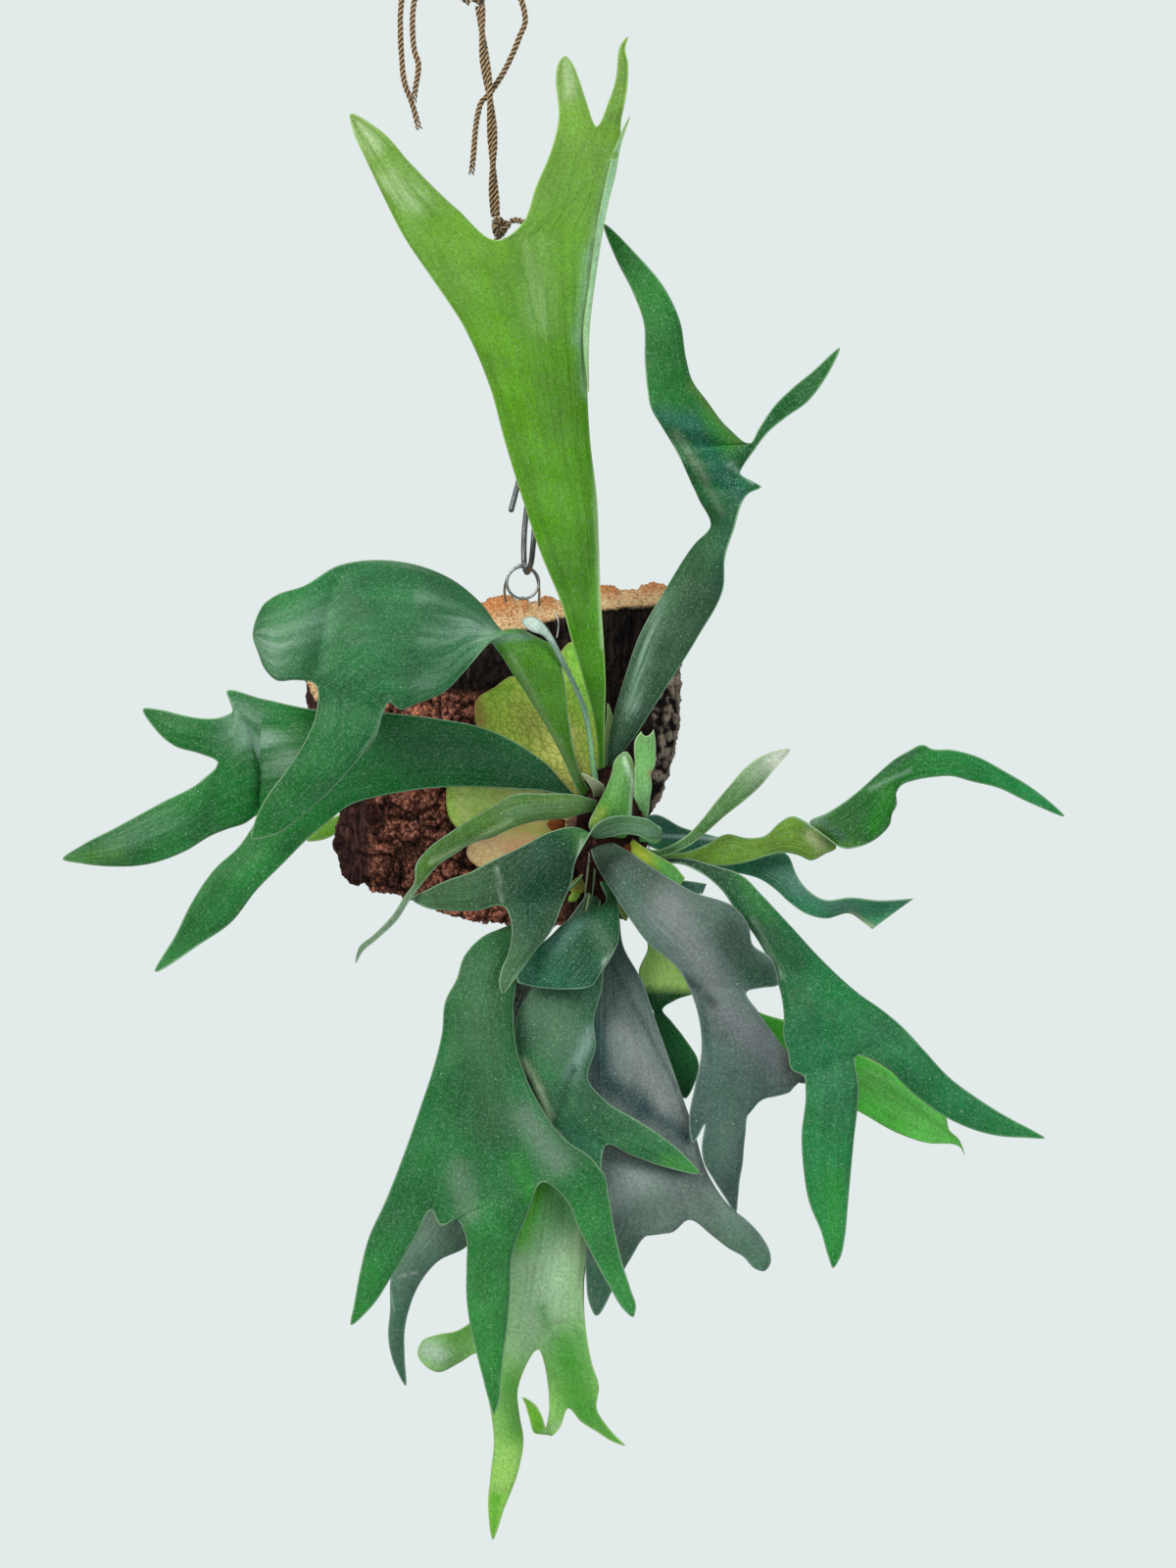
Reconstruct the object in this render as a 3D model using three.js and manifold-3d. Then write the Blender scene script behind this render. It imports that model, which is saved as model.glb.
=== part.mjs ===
// A staghorn fern grown on a slab of cork bark, hung by a wire hook from jute twine.
// Millimetres, +Z up, seen from the front along +Y. The origin is the top of the hanging loop.
import * as THREE from 'three';
import { mergeVertices } from 'three/addons/utils/BufferGeometryUtils.js';
import Module from 'manifold-3d';

const wasm = await Module();
wasm.setup();

// The fern is drawn as it is seen from the front: x to the right and y down, in steps of DRAWING_STEP at
// the bark, from an eye EYE_DISTANCE in front of it, level with EYE_LINE. A third number says how many
// millimetres a point lies forward of the bark.
const DRAWING_STEP = 0.45;
const EYE_DISTANCE = 1500;
const EYE_LINE = { x: 600, y: 800 };

const BLADE_THICKNESS = 1.3;
const SHIELD_THICKNESS = 1.0;
const SEAT_GAP = 0.3;

const SLAB_THICKNESS = 24;
const SLAB_CREST = 530;
const SLAB_HALF_WIDTH = 200;
const SLAB_BACK_SWEEP = 24;
const SLAB_SETBACK = 1;
const FISSURE_DEPTH = 1.6;
const FISSURE_SPACING = 30;
const FISSURE_WANDER = { reach: 2, length: 140 };

const CROWN_CENTRE = [622, 852, 8];
const CROWN_RADII = [17, 22, 32];
const ROOT_LUMP = 0.05;

const TWINE_STRAND = 2.8;
const TWINE_DOUBLED = 4.8;
const TWINE_BACK = -12;
const KNOT_LOWER = { x: 510.5, y: 231.5, radii: [4.6, 4.2, 4.6], lean: 0.3 };
const KNOT_TOP = { x: 489, y: -2, radii: [4.2, 4.2, 3.4], lean: 0 };
const HANG_LOOP_TOP = { x: 489, y: -42 };

const HOOK_WIRE = 2.6;
const RING_WIRE = 1.3;
const RING_RADIUS = 7.4;
const RING_CENTRE = [533.5, 594.6, -8];
const STAPLE_WIRE = 1.2;
const TIE_WIRE = 0.6;

const seen = (x, y, forward) => {
  const scale = DRAWING_STEP * (1 - forward / EYE_DISTANCE);
  return new THREE.Vector3((x - EYE_LINE.x) * scale, -forward, (EYE_LINE.y - y) * scale);
};
const HANG_POINT = seen(HANG_LOOP_TOP.x, HANG_LOOP_TOP.y, TWINE_BACK);
const at = (x, y, forward) => seen(x, y, forward).sub(HANG_POINT);

// A smooth line through hand-drawn points, whose ends may look to a neighbour point
const TOUCHING = 1e-6;
function smoothLine(points, before = points[0], after = points.at(-1)) {
  const all = [before, ...points, after];
  return (t) => {
    const i = Math.min(Math.floor(t), points.length - 2);
    const s = t - i;
    const [p0, p1, p2, p3] = all.slice(i, i + 4);
    const span = p1.distanceTo(p2);
    const slope = (a, b, c) => {
      const ab = a.distanceTo(b);
      const bc = b.distanceTo(c);
      if (Math.min(ab, bc) < TOUCHING) return c.clone().sub(a).setLength(span || 1);
      const out = b.clone().sub(a).multiplyScalar(bc / ab);
      out.addScaledVector(c.clone().sub(b), ab / bc);
      return out.multiplyScalar(span / (ab + bc));
    };
    const point = p1.clone().multiplyScalar((1 + 2 * s) * (1 - s) ** 2);
    point.addScaledVector(slope(p0, p1, p2), s * (1 - s) ** 2);
    point.addScaledVector(p2, s * s * (3 - 2 * s));
    return point.addScaledVector(slope(p1, p2, p3), s * s * (s - 1));
  };
}

// Fronds. A row crosses the frond: its first edge (x, y), its second edge (x, y), how far forward its
// middle lies, by how much the second edge is ahead of the first, how far the middle bows forward of the
// edges, and, where the row is folded, the (x, y) of its middle. The last row before a fork runs through
// the notch, and each lobe goes on from its own side of it.
const STEP_LENGTH = 15;
const COLUMNS_PER_LOBE = 2;

function rowPoints([ax, ay, bx, by, forward, turn = 0, bow = 0, mx, my]) {
  const a = at(ax, ay, forward - turn / 2);
  const b = at(bx, by, forward + turn / 2);
  const middle = at(mx ?? (ax + bx) / 2, my ?? (ay + by) / 2, forward + bow);
  return [a, middle, b];
}

const lobeCount = (part) => (part.lobes ? lobeCount(part.lobes[0]) + lobeCount(part.lobes[1]) : 1);
const firstRow = (part) => (part.rows.length ? rowPoints(part.rows[0]) : Array(3).fill(at(...part.tip)));
const ease = (s) => s * s * (3 - 2 * s);

function acrossRow([a, middle, b], v) {
  const point = a.clone().multiplyScalar((1 - v) * (1 - 2 * v));
  point.addScaledVector(middle, 4 * v * (1 - v));
  return point.addScaledVector(b, v * (2 * v - 1));
}

function layBlade(part, quads, start, before = []) {
  const rows = part.rows.map(rowPoints);
  if (start) rows.unshift([start[0], start[Math.floor(start.length / 2)], start.at(-1)]);
  if (part.tip) rows.push(Array(3).fill(at(...part.tip)));
  const columns = lobeCount(part) * COLUMNS_PER_LOBE;
  const split = part.lobes ? lobeCount(part.lobes[0]) * COLUMNS_PER_LOBE : columns;
  const share = part.lobes ? part.notch[0] : 1;
  const place = (j) => {
    if (j <= split) return (share * j) / split;
    return share + ((1 - share) * (j - split)) / (columns - split);
  };

  const last = rows.length - 1;
  const after = [];
  let endRow = null;
  if (part.lobes) {
    const notch = at(...part.notch.slice(1));
    const [a, , b] = rows[last];
    const tent = (v) => {
      if (v <= share) return a.clone().lerp(notch, v / share);
      return notch.clone().lerp(b, (v - share) / (1 - share));
    };
    rows[last] = [a, tent(0.5), b];
    endRow = Array.from({ length: columns + 1 }, (_, j) => tent(place(j)));
    after[0] = firstRow(part.lobes[0])[0];
    after[2] = firstRow(part.lobes[1])[2];
  } else if (part.tip && last > 0) {
    after[0] = rows[last - 1][2];
    after[2] = rows[last - 1][0];
  }
  const lines = [0, 1, 2].map((k) => smoothLine(rows.map((row) => row[k]), before[k], after[k]));

  const stops = [0];
  for (let i = 0; i < last; i++) {
    const length = Math.max(rows[i][0].distanceTo(rows[i + 1][0]), rows[i][2].distanceTo(rows[i + 1][2]));
    const tipSteps = part.tip && i === last - 1 ? 2 : 1;
    const steps = Math.max(tipSteps, Math.round(length / STEP_LENGTH));
    for (let k = 1; k <= steps; k++) {
      stops.push(i + k / steps);
    }
  }
  const grid = [];
  for (const t of stops) {
    const row = lines.map((line) => line(t));
    grid.push(Array.from({ length: columns + 1 }, (_, j) => {
      const point = acrossRow(row, place(j));
      if (start && t < 1) {
        const off = start[j].clone().sub(acrossRow(rows[0], place(j)));
        point.addScaledVector(off, 1 - ease(t));
      }
      if (endRow && t > last - 1) {
        const off = endRow[j].clone().sub(acrossRow(rows[last], place(j)));
        point.addScaledVector(off, ease(t - last + 1));
      }
      return point;
    }));
  }
  for (let i = 0; i + 1 < grid.length; i++) {
    const [row, next] = [grid[i], grid[i + 1]];
    for (let j = 0; j < columns; j++) {
      quads.push([row[j], row[j + 1], next[j + 1], next[j]]);
    }
  }
  if (!part.lobes) return;
  const end = grid.at(-1);
  const [one, two] = part.lobes;
  layBlade(one, quads, end.slice(0, split + 1), [rows[last - 1][0], undefined, firstRow(two)[0]]);
  layBlade(two, quads, end.slice(split), [firstRow(one)[2], undefined, rows[last - 1][2]]);
}

// Solids, turned if need be so that their faces point out
function solidOf(positions, triangles) {
  const vertProperties = new Float32Array(positions);
  const triVerts = new Uint32Array(triangles);
  const solid = new wasm.Manifold(new wasm.Mesh({ numProp: 3, vertProperties, triVerts }));
  if (solid.volume() > 0) return solid;
  return new wasm.Manifold(new wasm.Mesh({ numProp: 3, vertProperties, triVerts: triVerts.reverse() }));
}

function fromGeometry(geometry) {
  geometry.deleteAttribute('normal');
  geometry.deleteAttribute('uv');
  const merged = mergeVertices(geometry, 1e-3);
  return solidOf(merged.attributes.position.array, merged.index.array);
}

function toGeometry(solid) {
  const { vertProperties, triVerts } = solid.getMesh();
  const geometry = new THREE.BufferGeometry();
  geometry.setAttribute('position', new THREE.BufferAttribute(vertProperties, 3));
  geometry.setIndex(new THREE.BufferAttribute(triVerts, 1));
  return geometry;
}

const biggest = (solid) => solid.decompose().sort((p, q) => q.volume() - p.volume())[0];

// A sheet of quads becomes a closed solid: a face each side of it and a rim round its margin
function thicken(quads, thickness) {
  const points = [];
  const known = new Map();
  const indexOf = (point) => {
    const key = point.toArray().map((n) => Math.round(n * 1e3)).join();
    if (!known.has(key)) {
      known.set(key, points.length);
      points.push({ point, normal: new THREE.Vector3() });
    }
    return known.get(key);
  };
  const faces = [];
  for (const [a, b, c, d] of quads) {
    for (const corners of [[a, b, c], [a, c, d]]) {
      const face = corners.map(indexOf);
      if (new Set(face).size === 3) faces.push(face);
    }
  }
  const edges = new Map();
  for (const face of faces) {
    const [p, q, r] = face.map((i) => points[i].point);
    const normal = q.clone().sub(p).cross(r.clone().sub(p));
    face.forEach((i) => points[i].normal.add(normal));
    for (let k = 0; k < 3; k++) {
      const [i, j] = [face[k], face[(k + 1) % 3]];
      if (edges.has(`${j},${i}`)) edges.delete(`${j},${i}`);
      else edges.set(`${i},${j}`, [i, j]);
    }
  }
  const positions = [];
  for (const side of [1, -1]) {
    for (const { point, normal } of points) {
      const raised = point.clone().addScaledVector(normal.clone().normalize(), (side * thickness) / 2);
      positions.push(...raised.toArray());
    }
  }
  const n = points.length;
  const triangles = faces.flatMap(([i, j, k]) => [i, j, k, i + n, k + n, j + n]);
  for (const [i, j] of edges.values()) {
    triangles.push(i, i + n, j + n, i, j + n, j);
  }
  return solidOf(positions, triangles);
}

function frond(part, thickness = BLADE_THICKNESS) {
  const quads = [];
  layBlade(part, quads);
  return thicken(quads, thickness);
}

// A round wire or cord along a line of points
function cord(points, diameter, sides = 8, steps = points.length * 2) {
  const line = new THREE.CatmullRomCurve3(points.map((p) => at(...p)), false, 'centripetal');
  const section = new THREE.Shape();
  section.absarc(0, 0, diameter / 2, 0, Math.PI * 2);
  const round = new THREE.Shape(section.getSpacedPoints(sides).slice(0, -1));
  return fromGeometry(new THREE.ExtrudeGeometry(round, { steps, extrudePath: line, bevelEnabled: false }));
}

// The bark slab is a piece of the trunk's own curve: its face falls back to each side of a crest
const barkFace = (x) => -SLAB_SETBACK - SLAB_BACK_SWEEP * ((x - SLAB_CREST) / SLAB_HALF_WIDTH) ** 2;
const barkBack = (x) => barkFace(x) - SLAB_THICKNESS;

const slabOutline = {
  frontTop: [[322, 716], [345, 694], [395, 670], [450, 656], [500, 648], [530, 645], [555, 635],
    [575, 630], [615, 622], [665, 618], [690, 616]],
  backTop: [[312, 695], [335, 672], [385, 648], [440, 632], [497, 618], [515, 612], [540, 614],
    [575, 611], [612, 603], [633, 603], [662, 600], [688, 598]],
  bottom: [[355, 899], [364, 904], [374, 901], [378, 907], [404, 913], [446, 929], [470, 937],
    [519, 943], [575, 945], [640, 938]],
  frontLeft: [[322, 716], [324, 745], [334, 790], [346, 830], [342, 850], [340, 865], [346, 876],
    [348, 889], [355, 899]],
  backLeft: [[312, 695], [314, 730], [328, 790], [346, 830], [342, 850], [340, 865], [346, 876],
    [348, 889], [355, 899]],
  right: [[690, 616], [691, 690], [690, 745], [684, 775], [674, 808], [664, 830], [656, 870], [648, 905],
    [640, 938]],
  backRight: [[688, 598], [693, 700], [690, 745], [684, 775], [674, 808], [664, 830], [656, 870],
    [648, 905], [640, 938]],
};
const SLAB_COLUMNS = 20;
const SLAB_ROWS = 12;

function outlinePoint(list, share) {
  const points = list.map(([x, y]) => new THREE.Vector3(x, y, 0));
  const reach = [0];
  for (let i = 1; i < points.length; i++) {
    reach.push(reach[i - 1] + points[i - 1].distanceTo(points[i]));
  }
  const wanted = share * reach.at(-1);
  let i = 0;
  while (i < points.length - 2 && reach[i + 1] < wanted) i++;
  return smoothLine(points)(i + (wanted - reach[i]) / (reach[i + 1] - reach[i]));
}

// A face of the slab fills its four edges: the blend of each pair of edges, less that of the corners
function slabFace(top, left, right, depthAt, relief) {
  const { bottom } = slabOutline;
  const grid = [];
  for (let i = 0; i <= SLAB_ROWS; i++) {
    const v = i / SLAB_ROWS;
    grid.push(Array.from({ length: SLAB_COLUMNS + 1 }, (_, j) => {
      const u = j / SLAB_COLUMNS;
      const point = outlinePoint(top, u).multiplyScalar(1 - v);
      point.addScaledVector(outlinePoint(bottom, u), v);
      point.addScaledVector(outlinePoint(left, v), 1 - u);
      point.addScaledVector(outlinePoint(right, v), u);
      point.addScaledVector(outlinePoint(top, 0), -(1 - u) * (1 - v));
      point.addScaledVector(outlinePoint(top, 1), -u * (1 - v));
      point.addScaledVector(outlinePoint(bottom, 0), -(1 - u) * v);
      point.addScaledVector(outlinePoint(bottom, 1), -u * v);
      const wander = FISSURE_WANDER.reach * Math.sin((2 * Math.PI * point.y) / FISSURE_WANDER.length);
      const fissure = 0.5 + 0.5 * Math.sin((2 * Math.PI * point.x) / FISSURE_SPACING + wander);
      return at(point.x, point.y, depthAt(point.x) - relief * fissure);
    }));
  }
  return grid;
}

function slabSolid() {
  const { frontTop, backTop, frontLeft, backLeft, right, backRight } = slabOutline;
  const front = slabFace(frontTop, frontLeft, right, barkFace, FISSURE_DEPTH);
  const back = slabFace(backTop, backLeft, backRight, barkBack, 0);
  const width = SLAB_COLUMNS + 1;
  const count = width * (SLAB_ROWS + 1);
  const positions = [front, back].flatMap((grid) => grid.flat().flatMap((p) => p.toArray()));
  const triangles = [];
  const rim = [];
  for (let i = 0; i < SLAB_ROWS; i++) {
    for (let j = 0; j < SLAB_COLUMNS; j++) {
      const a = i * width + j;
      const corners = [a, a + 1, a + 1 + width, a + width];
      const [p, q, r, s] = corners;
      triangles.push(p, q, r, p, r, s, p + count, r + count, q + count, p + count, s + count, r + count);
    }
  }
  for (let j = 0; j < SLAB_COLUMNS; j++) {
    rim.push([j, j + 1], [count - width + j + 1, count - width + j]);
  }
  for (let i = 0; i < SLAB_ROWS; i++) {
    rim.push([(i + 1) * width, i * width], [(i + 1) * width - 1, (i + 2) * width - 1]);
  }
  for (const [i, j] of rim) {
    triangles.push(i, i + count, j + count, i, j + count, j);
  }
  return solidOf(positions, triangles);
}

// The crown: the short rhizome under a felt of roots, from which every frond grows
function crownSolid(grow) {
  const ball = new THREE.SphereGeometry(1, 20, 14);
  const spots = ball.attributes.position;
  const spot = new THREE.Vector3();
  for (let i = 0; i < spots.count; i++) {
    spot.fromBufferAttribute(spots, i);
    const lump = 1 + ROOT_LUMP * (Math.sin(7 * spot.x + 1) * Math.cos(9 * spot.z) - Math.cos(8 * spot.y));
    spots.setXYZ(i, ...CROWN_RADII.map((radius, k) => spot.getComponent(k) * (radius * lump + grow)));
  }
  const solid = fromGeometry(ball);
  return solid.translate(at(...CROWN_CENTRE).toArray());
}

// Fertile fronds, named for where they point
const fronds = {
  frond_top: {
    rows: [[607, 815, 617, 815, 12], [610, 780, 617, 778, 17], [606, 735, 617, 740, 22],
      [597, 700, 618, 700, 26], [585, 660, 616, 655, 30], [574, 620, 613, 610, 33],
      [550, 560, 611, 555, 36, -4, 3], [535, 515, 609, 510, 38, -6, 4], [515, 450, 602, 450, 40, -8, 6],
      [500, 395, 599, 395, 41, -10, 7], [473, 333, 600, 330, 43, -10, 7],
      [440, 283, 606, 278, 44, -8, 6], [410, 238, 615, 232, 46, -4]],
    notch: [0.52, 510, 245, 49],
    lobes: [
      { rows: [[391, 200, 466, 213, 47, 0, 2], [372, 160, 418, 166, 46, 0, 2],
        [361, 136, 388, 133, 44]],
        tip: [357, 117, 43] },
      { rows: [[532, 229, 620, 208, 46.8, -5, 0.5], [547, 190, 628, 178, 46.8, -5, 1.5],
        [564, 148, 636, 141, 46.5, -5, 1.5], [570, 120, 644, 120, 45, -5]],
        notch: [0.54, 609, 129, 46],
        lobes: [
          { rows: [[569, 100, 598, 103, 44, 0, 1], [567, 79, 591, 81, 43], [571, 62, 583, 63, 42]],
            tip: [577, 57, 41] },
          { rows: [[620, 106, 637, 108, 44], [629, 76, 641, 80, 43], [630, 63, 641, 64, 42],
            [633, 46, 638, 50, 41]],
            tip: [641, 37, 40] },
        ] },
    ],
  },
  frond_upper_right: {
    rows: [[620, 812, 628, 812, 4], [618, 785, 630, 780, 8], [623, 745, 652, 745, 14, 2, 2],
      [638, 690, 687, 690, 20, 4, 3], [652, 650, 712, 650, 25, 6, 4], [680, 600, 738, 600, 29, 8, 4],
      [710, 554, 740, 568, 32, 12, 2], [725, 538, 748, 542, 35, 14], [712, 507, 765, 503, 36, 8, 3],
      [709, 500, 777, 497, 36, 6, 3], [707, 496, 767, 491, 36, 5, 4], [703, 487, 755, 483, 36, 2, 5],
      [698, 476, 759, 474, 36, -1, 6], [691, 462, 768, 462, 35, -4, 6]],
    notch: [0.88, 766, 452, 31],
    lobes: [
      { rows: [[674, 433, 742, 436, 36, -9, 6], [664, 416, 721, 409, 36, -10, 5],
        [661, 400, 706, 388, 36, -8, 3], [658, 370, 700, 366, 36, -4, 2],
        [657, 330, 694, 329, 36, -2, 2], [645, 297, 680, 297, 34], [628, 263, 650, 260, 32]],
        tip: [616, 229, 30] },
      { rows: [[774, 438, 784, 441, 30], [791, 413, 802, 426, 31], [806, 398, 823, 411, 33],
        [828, 380, 843, 385, 34]],
        tip: [857, 355, 34] },
    ],
  },
  frond_folded_left: {
    rows: [[600, 822, 607, 812, 15], [590, 808, 596, 797, 22], [572, 768, 588, 775, 32, 0, 1],
      [545, 720, 581, 738, 42, 0, 2], [525, 690, 575, 692, 50, -2, 3], [508, 664, 566, 660, 54, -8, 5],
      [500, 656, 545, 652, 54, -22, 5, 527, 644], [494, 662, 517, 647, 54, -30, 6, 500, 648],
      [475, 684, 490, 615, 58, -26, 10, 476, 645], [452, 707, 462, 592, 63, -20, 10],
      [425, 718, 430, 578, 67, -16, 10], [408, 724, 398, 572, 69.5, -14, 9],
      [397, 717, 372, 572, 70.5, -12, 8], [391, 728, 345, 577, 71, -10, 6]],
    notch: [0.42, 320, 697, 77],
    lobes: [
      { rows: [[383, 753, 322, 731, 76, 0, 3], [366, 774, 312, 755, 76, 0, 3],
        [341, 803, 293, 785, 74, 0, 2], [306, 835, 271, 815, 70, 0, 1],
        [280, 852, 259, 841, 67]], tip: [256, 855, 66] },
      { rows: [[303, 694, 310, 598, 74, -8, 4], [282, 694, 281, 608, 72, -6, 4],
        [270, 682, 270, 616, 70.5, -4, 3], [264, 667, 263, 628, 69, -3, 1]],
        tip: [258, 648, 68] },
    ],
  },
  frond_long_left: {
    rows: [[600, 832, 604, 822, 11], [586, 817, 581, 806, 17], [560, 808, 560, 782, 22, 0, 1],
      [525, 805, 530, 760, 26, 0, 2], [490, 803, 490, 742, 31, 0, 3], [440, 804, 450, 734, 37, 0, 3],
      [390, 812, 410, 729, 42, 0, 3], [358, 821, 365, 725, 45, 0, 3], [335, 838, 322, 724, 47, 0, 3],
      [315, 855, 268, 713, 49]],
    notch: [0.33, 262, 832, 50],
    lobes: [
      { rows: [[290, 880, 246, 861, 51, 0, 1], [262, 908, 218, 888, 53, 0, 2],
        [235, 942, 195, 922, 55, 0, 2], [205, 963, 179, 954, 57]], tip: [158, 991, 59] },
      { rows: [[250, 840, 231, 706, 50.5, 0, 3, 257, 772], [232, 846, 238, 725, 51.5, 0, 2],
        [215, 853, 224, 732, 52]],
        notch: [0.62, 222, 778, 54],
        lobes: [
          { rows: [[190, 868, 206, 796, 54, 0, 1], [150, 882, 165, 819, 56, 0, 2],
            [110, 884, 115, 846, 57, 0, 1], [82, 881, 84, 862, 58]], tip: [64, 877, 58] },
          { rows: [[204, 769, 206, 733, 53, 0, 1], [180, 762, 188, 730, 53, 0, 1],
            [158, 744, 163, 724, 52]],
            tip: [146, 723, 52] },
        ] },
    ],
  },
  frond_tailed_left: {
    rows: [[612, 828, 613, 818, 22], [599, 829, 600, 814, 30], [582, 834, 588, 811, 33, 0, 1],
      [545, 838, 553, 810, 36, 0, 2], [522, 845, 525, 811, 38, 0, 2], [503, 854, 503, 823, 39, 0, 2],
      [480, 861, 484, 834, 40, 0, 2], [465, 871, 460, 849, 41, 0, 1], [448, 882, 435, 868, 42, 0, 1],
      [436, 895, 424, 883, 43], [426, 908, 423, 900, 44], [418, 919, 413, 914, 44],
      [406, 938, 401, 933, 43], [383, 960, 380, 955, 42], [370, 971, 366, 967, 41]],
    tip: [363, 983, 41],
  },
  frond_arched: {
    rows: [[640, 862, 640, 848, 14], [658, 859, 660, 842, 24], [669, 861, 671, 842, 31, 2],
      [674, 857, 675, 847, 38, 2], [662, 858, 662, 836, 44, 3], [652, 853, 648, 833, 47, 3],
      [638, 851, 636, 832, 49, 4], [621, 854, 619, 835, 53, 8],
      [607, 855, 606, 844, 56, 14], [596, 847, 598, 858, 58, 12],
      [582, 844, 592, 869, 60, 8], [562, 849, 587, 880, 61, 4, 2], [530, 865, 583, 900, 61, 2, 3],
      [500, 879, 573, 925, 60, 2]],
    notch: [0.45, 514, 925, 60],
    lobes: [
      { rows: [[480, 890, 488, 929, 57, 0, 1], [457, 898, 456, 929, 51, 0, 1],
        [436, 908, 434, 926, 44]],
        tip: [420, 917, 39] },
      { rows: [[522, 945, 563, 949, 64, 0, 2], [519, 972, 545, 972, 67, 0, 2],
        [511, 991, 530, 993, 69], [509, 1003, 522, 1004, 70]],
        tip: [513, 1014, 70] },
    ],
  },
  frond_grey_right: {
    rows: [[612, 874, 622, 864, 22], [603, 868, 627, 861, 34], [609, 884, 642, 870, 40, 0, 2],
      [625, 910, 668, 887, 46, 0, 3], [643, 938, 707, 910, 51, 0, 4], [665, 966, 753, 929, 55, 0, 5],
      [681, 978, 764, 945, 56.5, 0, 5], [692, 989, 768, 964, 57.5, 0, 4], [703, 1008, 786, 977, 58, 2, 3]],
    notch: [0.65, 762, 1012, 58],
    lobes: [
      { rows: [[712, 1033, 774, 1033, 56, 0, 4], [716, 1070, 797, 1065, 54, 0, 4],
        [709, 1108, 809, 1079, 52]],
        notch: [0.6, 763, 1138, 50],
        lobes: [
          { rows: [[703, 1143, 761, 1155, 50]],
            notch: [0.3, 719, 1147, 49],
            lobes: [
              { rows: [[704, 1157, 713, 1158, 49]], tip: [707, 1167, 49] },
              { rows: [[716, 1170, 759, 1172, 48.5, 0, 1], [718, 1185, 758, 1186, 48, 0, 1],
                [727, 1202, 755, 1203, 46.5], [739, 1221, 753, 1223, 45]],
                tip: [751, 1237, 44] },
            ] },
          { rows: [[778, 1122, 811, 1087, 49.5, 0, 1], [795, 1118, 817, 1092, 49],
            [806, 1114, 821, 1096, 48.5], [811, 1105, 825, 1099, 48]],
            tip: [823, 1105, 47.5] },
        ] },
      { rows: [[778, 1008, 792, 990, 57]], tip: [794, 1005, 56] },
    ],
  },
  frond_purple_front: {
    rows: [[618, 900, 630, 896, 14], [622, 930, 632, 930, 26], [614, 967, 636, 965, 32],
      [604, 1000, 654, 999, 36, 0, 2], [597, 1050, 672, 1050, 39, 0, 3],
      [592, 1100, 689, 1098, 41, 0, 3], [592, 1150, 707, 1150, 42, 0, 3],
      [594, 1200, 723, 1199, 42, 0, 2], [597, 1245, 745, 1231, 42]],
    notch: [0.7, 702, 1245, 43],
    lobes: [
      { rows: [[597, 1262, 687, 1257, 43, 0, 1], [597, 1278, 661, 1260, 43, 0, 1],
        [598, 1304, 643, 1285, 43, 0, 1], [601, 1329, 628, 1311, 42]],
        tip: [607, 1342, 42] },
      { rows: [[727, 1261, 764, 1247, 43, 0, 1], [744, 1274, 778, 1263, 43, 0, 1],
        [758, 1282, 786, 1279, 43], [771, 1295, 786, 1290, 42.5]],
        tip: [780, 1297, 42] },
    ],
  },
  frond_big_lower_left: {
    rows: [[592, 895, 602, 885, 14], [572, 915, 584, 904, 26], [545, 933, 560, 925, 37],
      [515, 946, 537, 955, 46, 0, 1], [491, 957, 531, 982, 52, 0, 3], [473, 977, 527, 1002, 55, 0, 4],
      [466, 999, 524, 1022, 58, 0, 4], [455, 1020, 524, 1042, 60, 0, 5],
      [451, 1055, 526, 1066, 62, 0, 5], [442, 1091, 534, 1093, 64, 0, 5],
      [430, 1127, 547, 1121, 65, 0, 5], [412, 1178, 577, 1163, 66, 0, 4],
      [392, 1228, 605, 1183, 67, 0, 2]],
    notch: [0.24, 441, 1235, 68],
    lobes: [
      { rows: [[377, 1261, 424, 1262, 67, 0, 1], [367, 1300, 400, 1302, 66, 0, 1],
        [361, 1332, 376, 1337, 65]],
        tip: [358, 1352, 64] },
      { rows: [[450, 1252, 611, 1191, 67.5, 0, 0, 530, 1212], [464, 1243, 616, 1197, 67]],
        notch: [0.6, 554, 1206, 68],
        lobes: [
          { rows: [[475, 1261, 537, 1242, 67, 0, 2], [476, 1290, 523, 1278, 66.5, 0, 2],
            [476, 1322, 520, 1325, 65.5, 0, 2], [479, 1348, 517, 1358, 65, 0, 2],
            [485, 1375, 514, 1381, 64, 0, 1], [492, 1404, 512, 1404, 62.5], [499, 1430, 509, 1432, 61.5]],
            tip: [504, 1443, 61] },
          { rows: [[580, 1228, 621, 1220, 66, 0, 1], [589, 1250, 626, 1249, 65.5, 0, 1],
            [604, 1280, 634, 1285, 64], [624, 1317, 644, 1317, 62.5], [637, 1337, 649, 1334, 61.5]],
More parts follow.
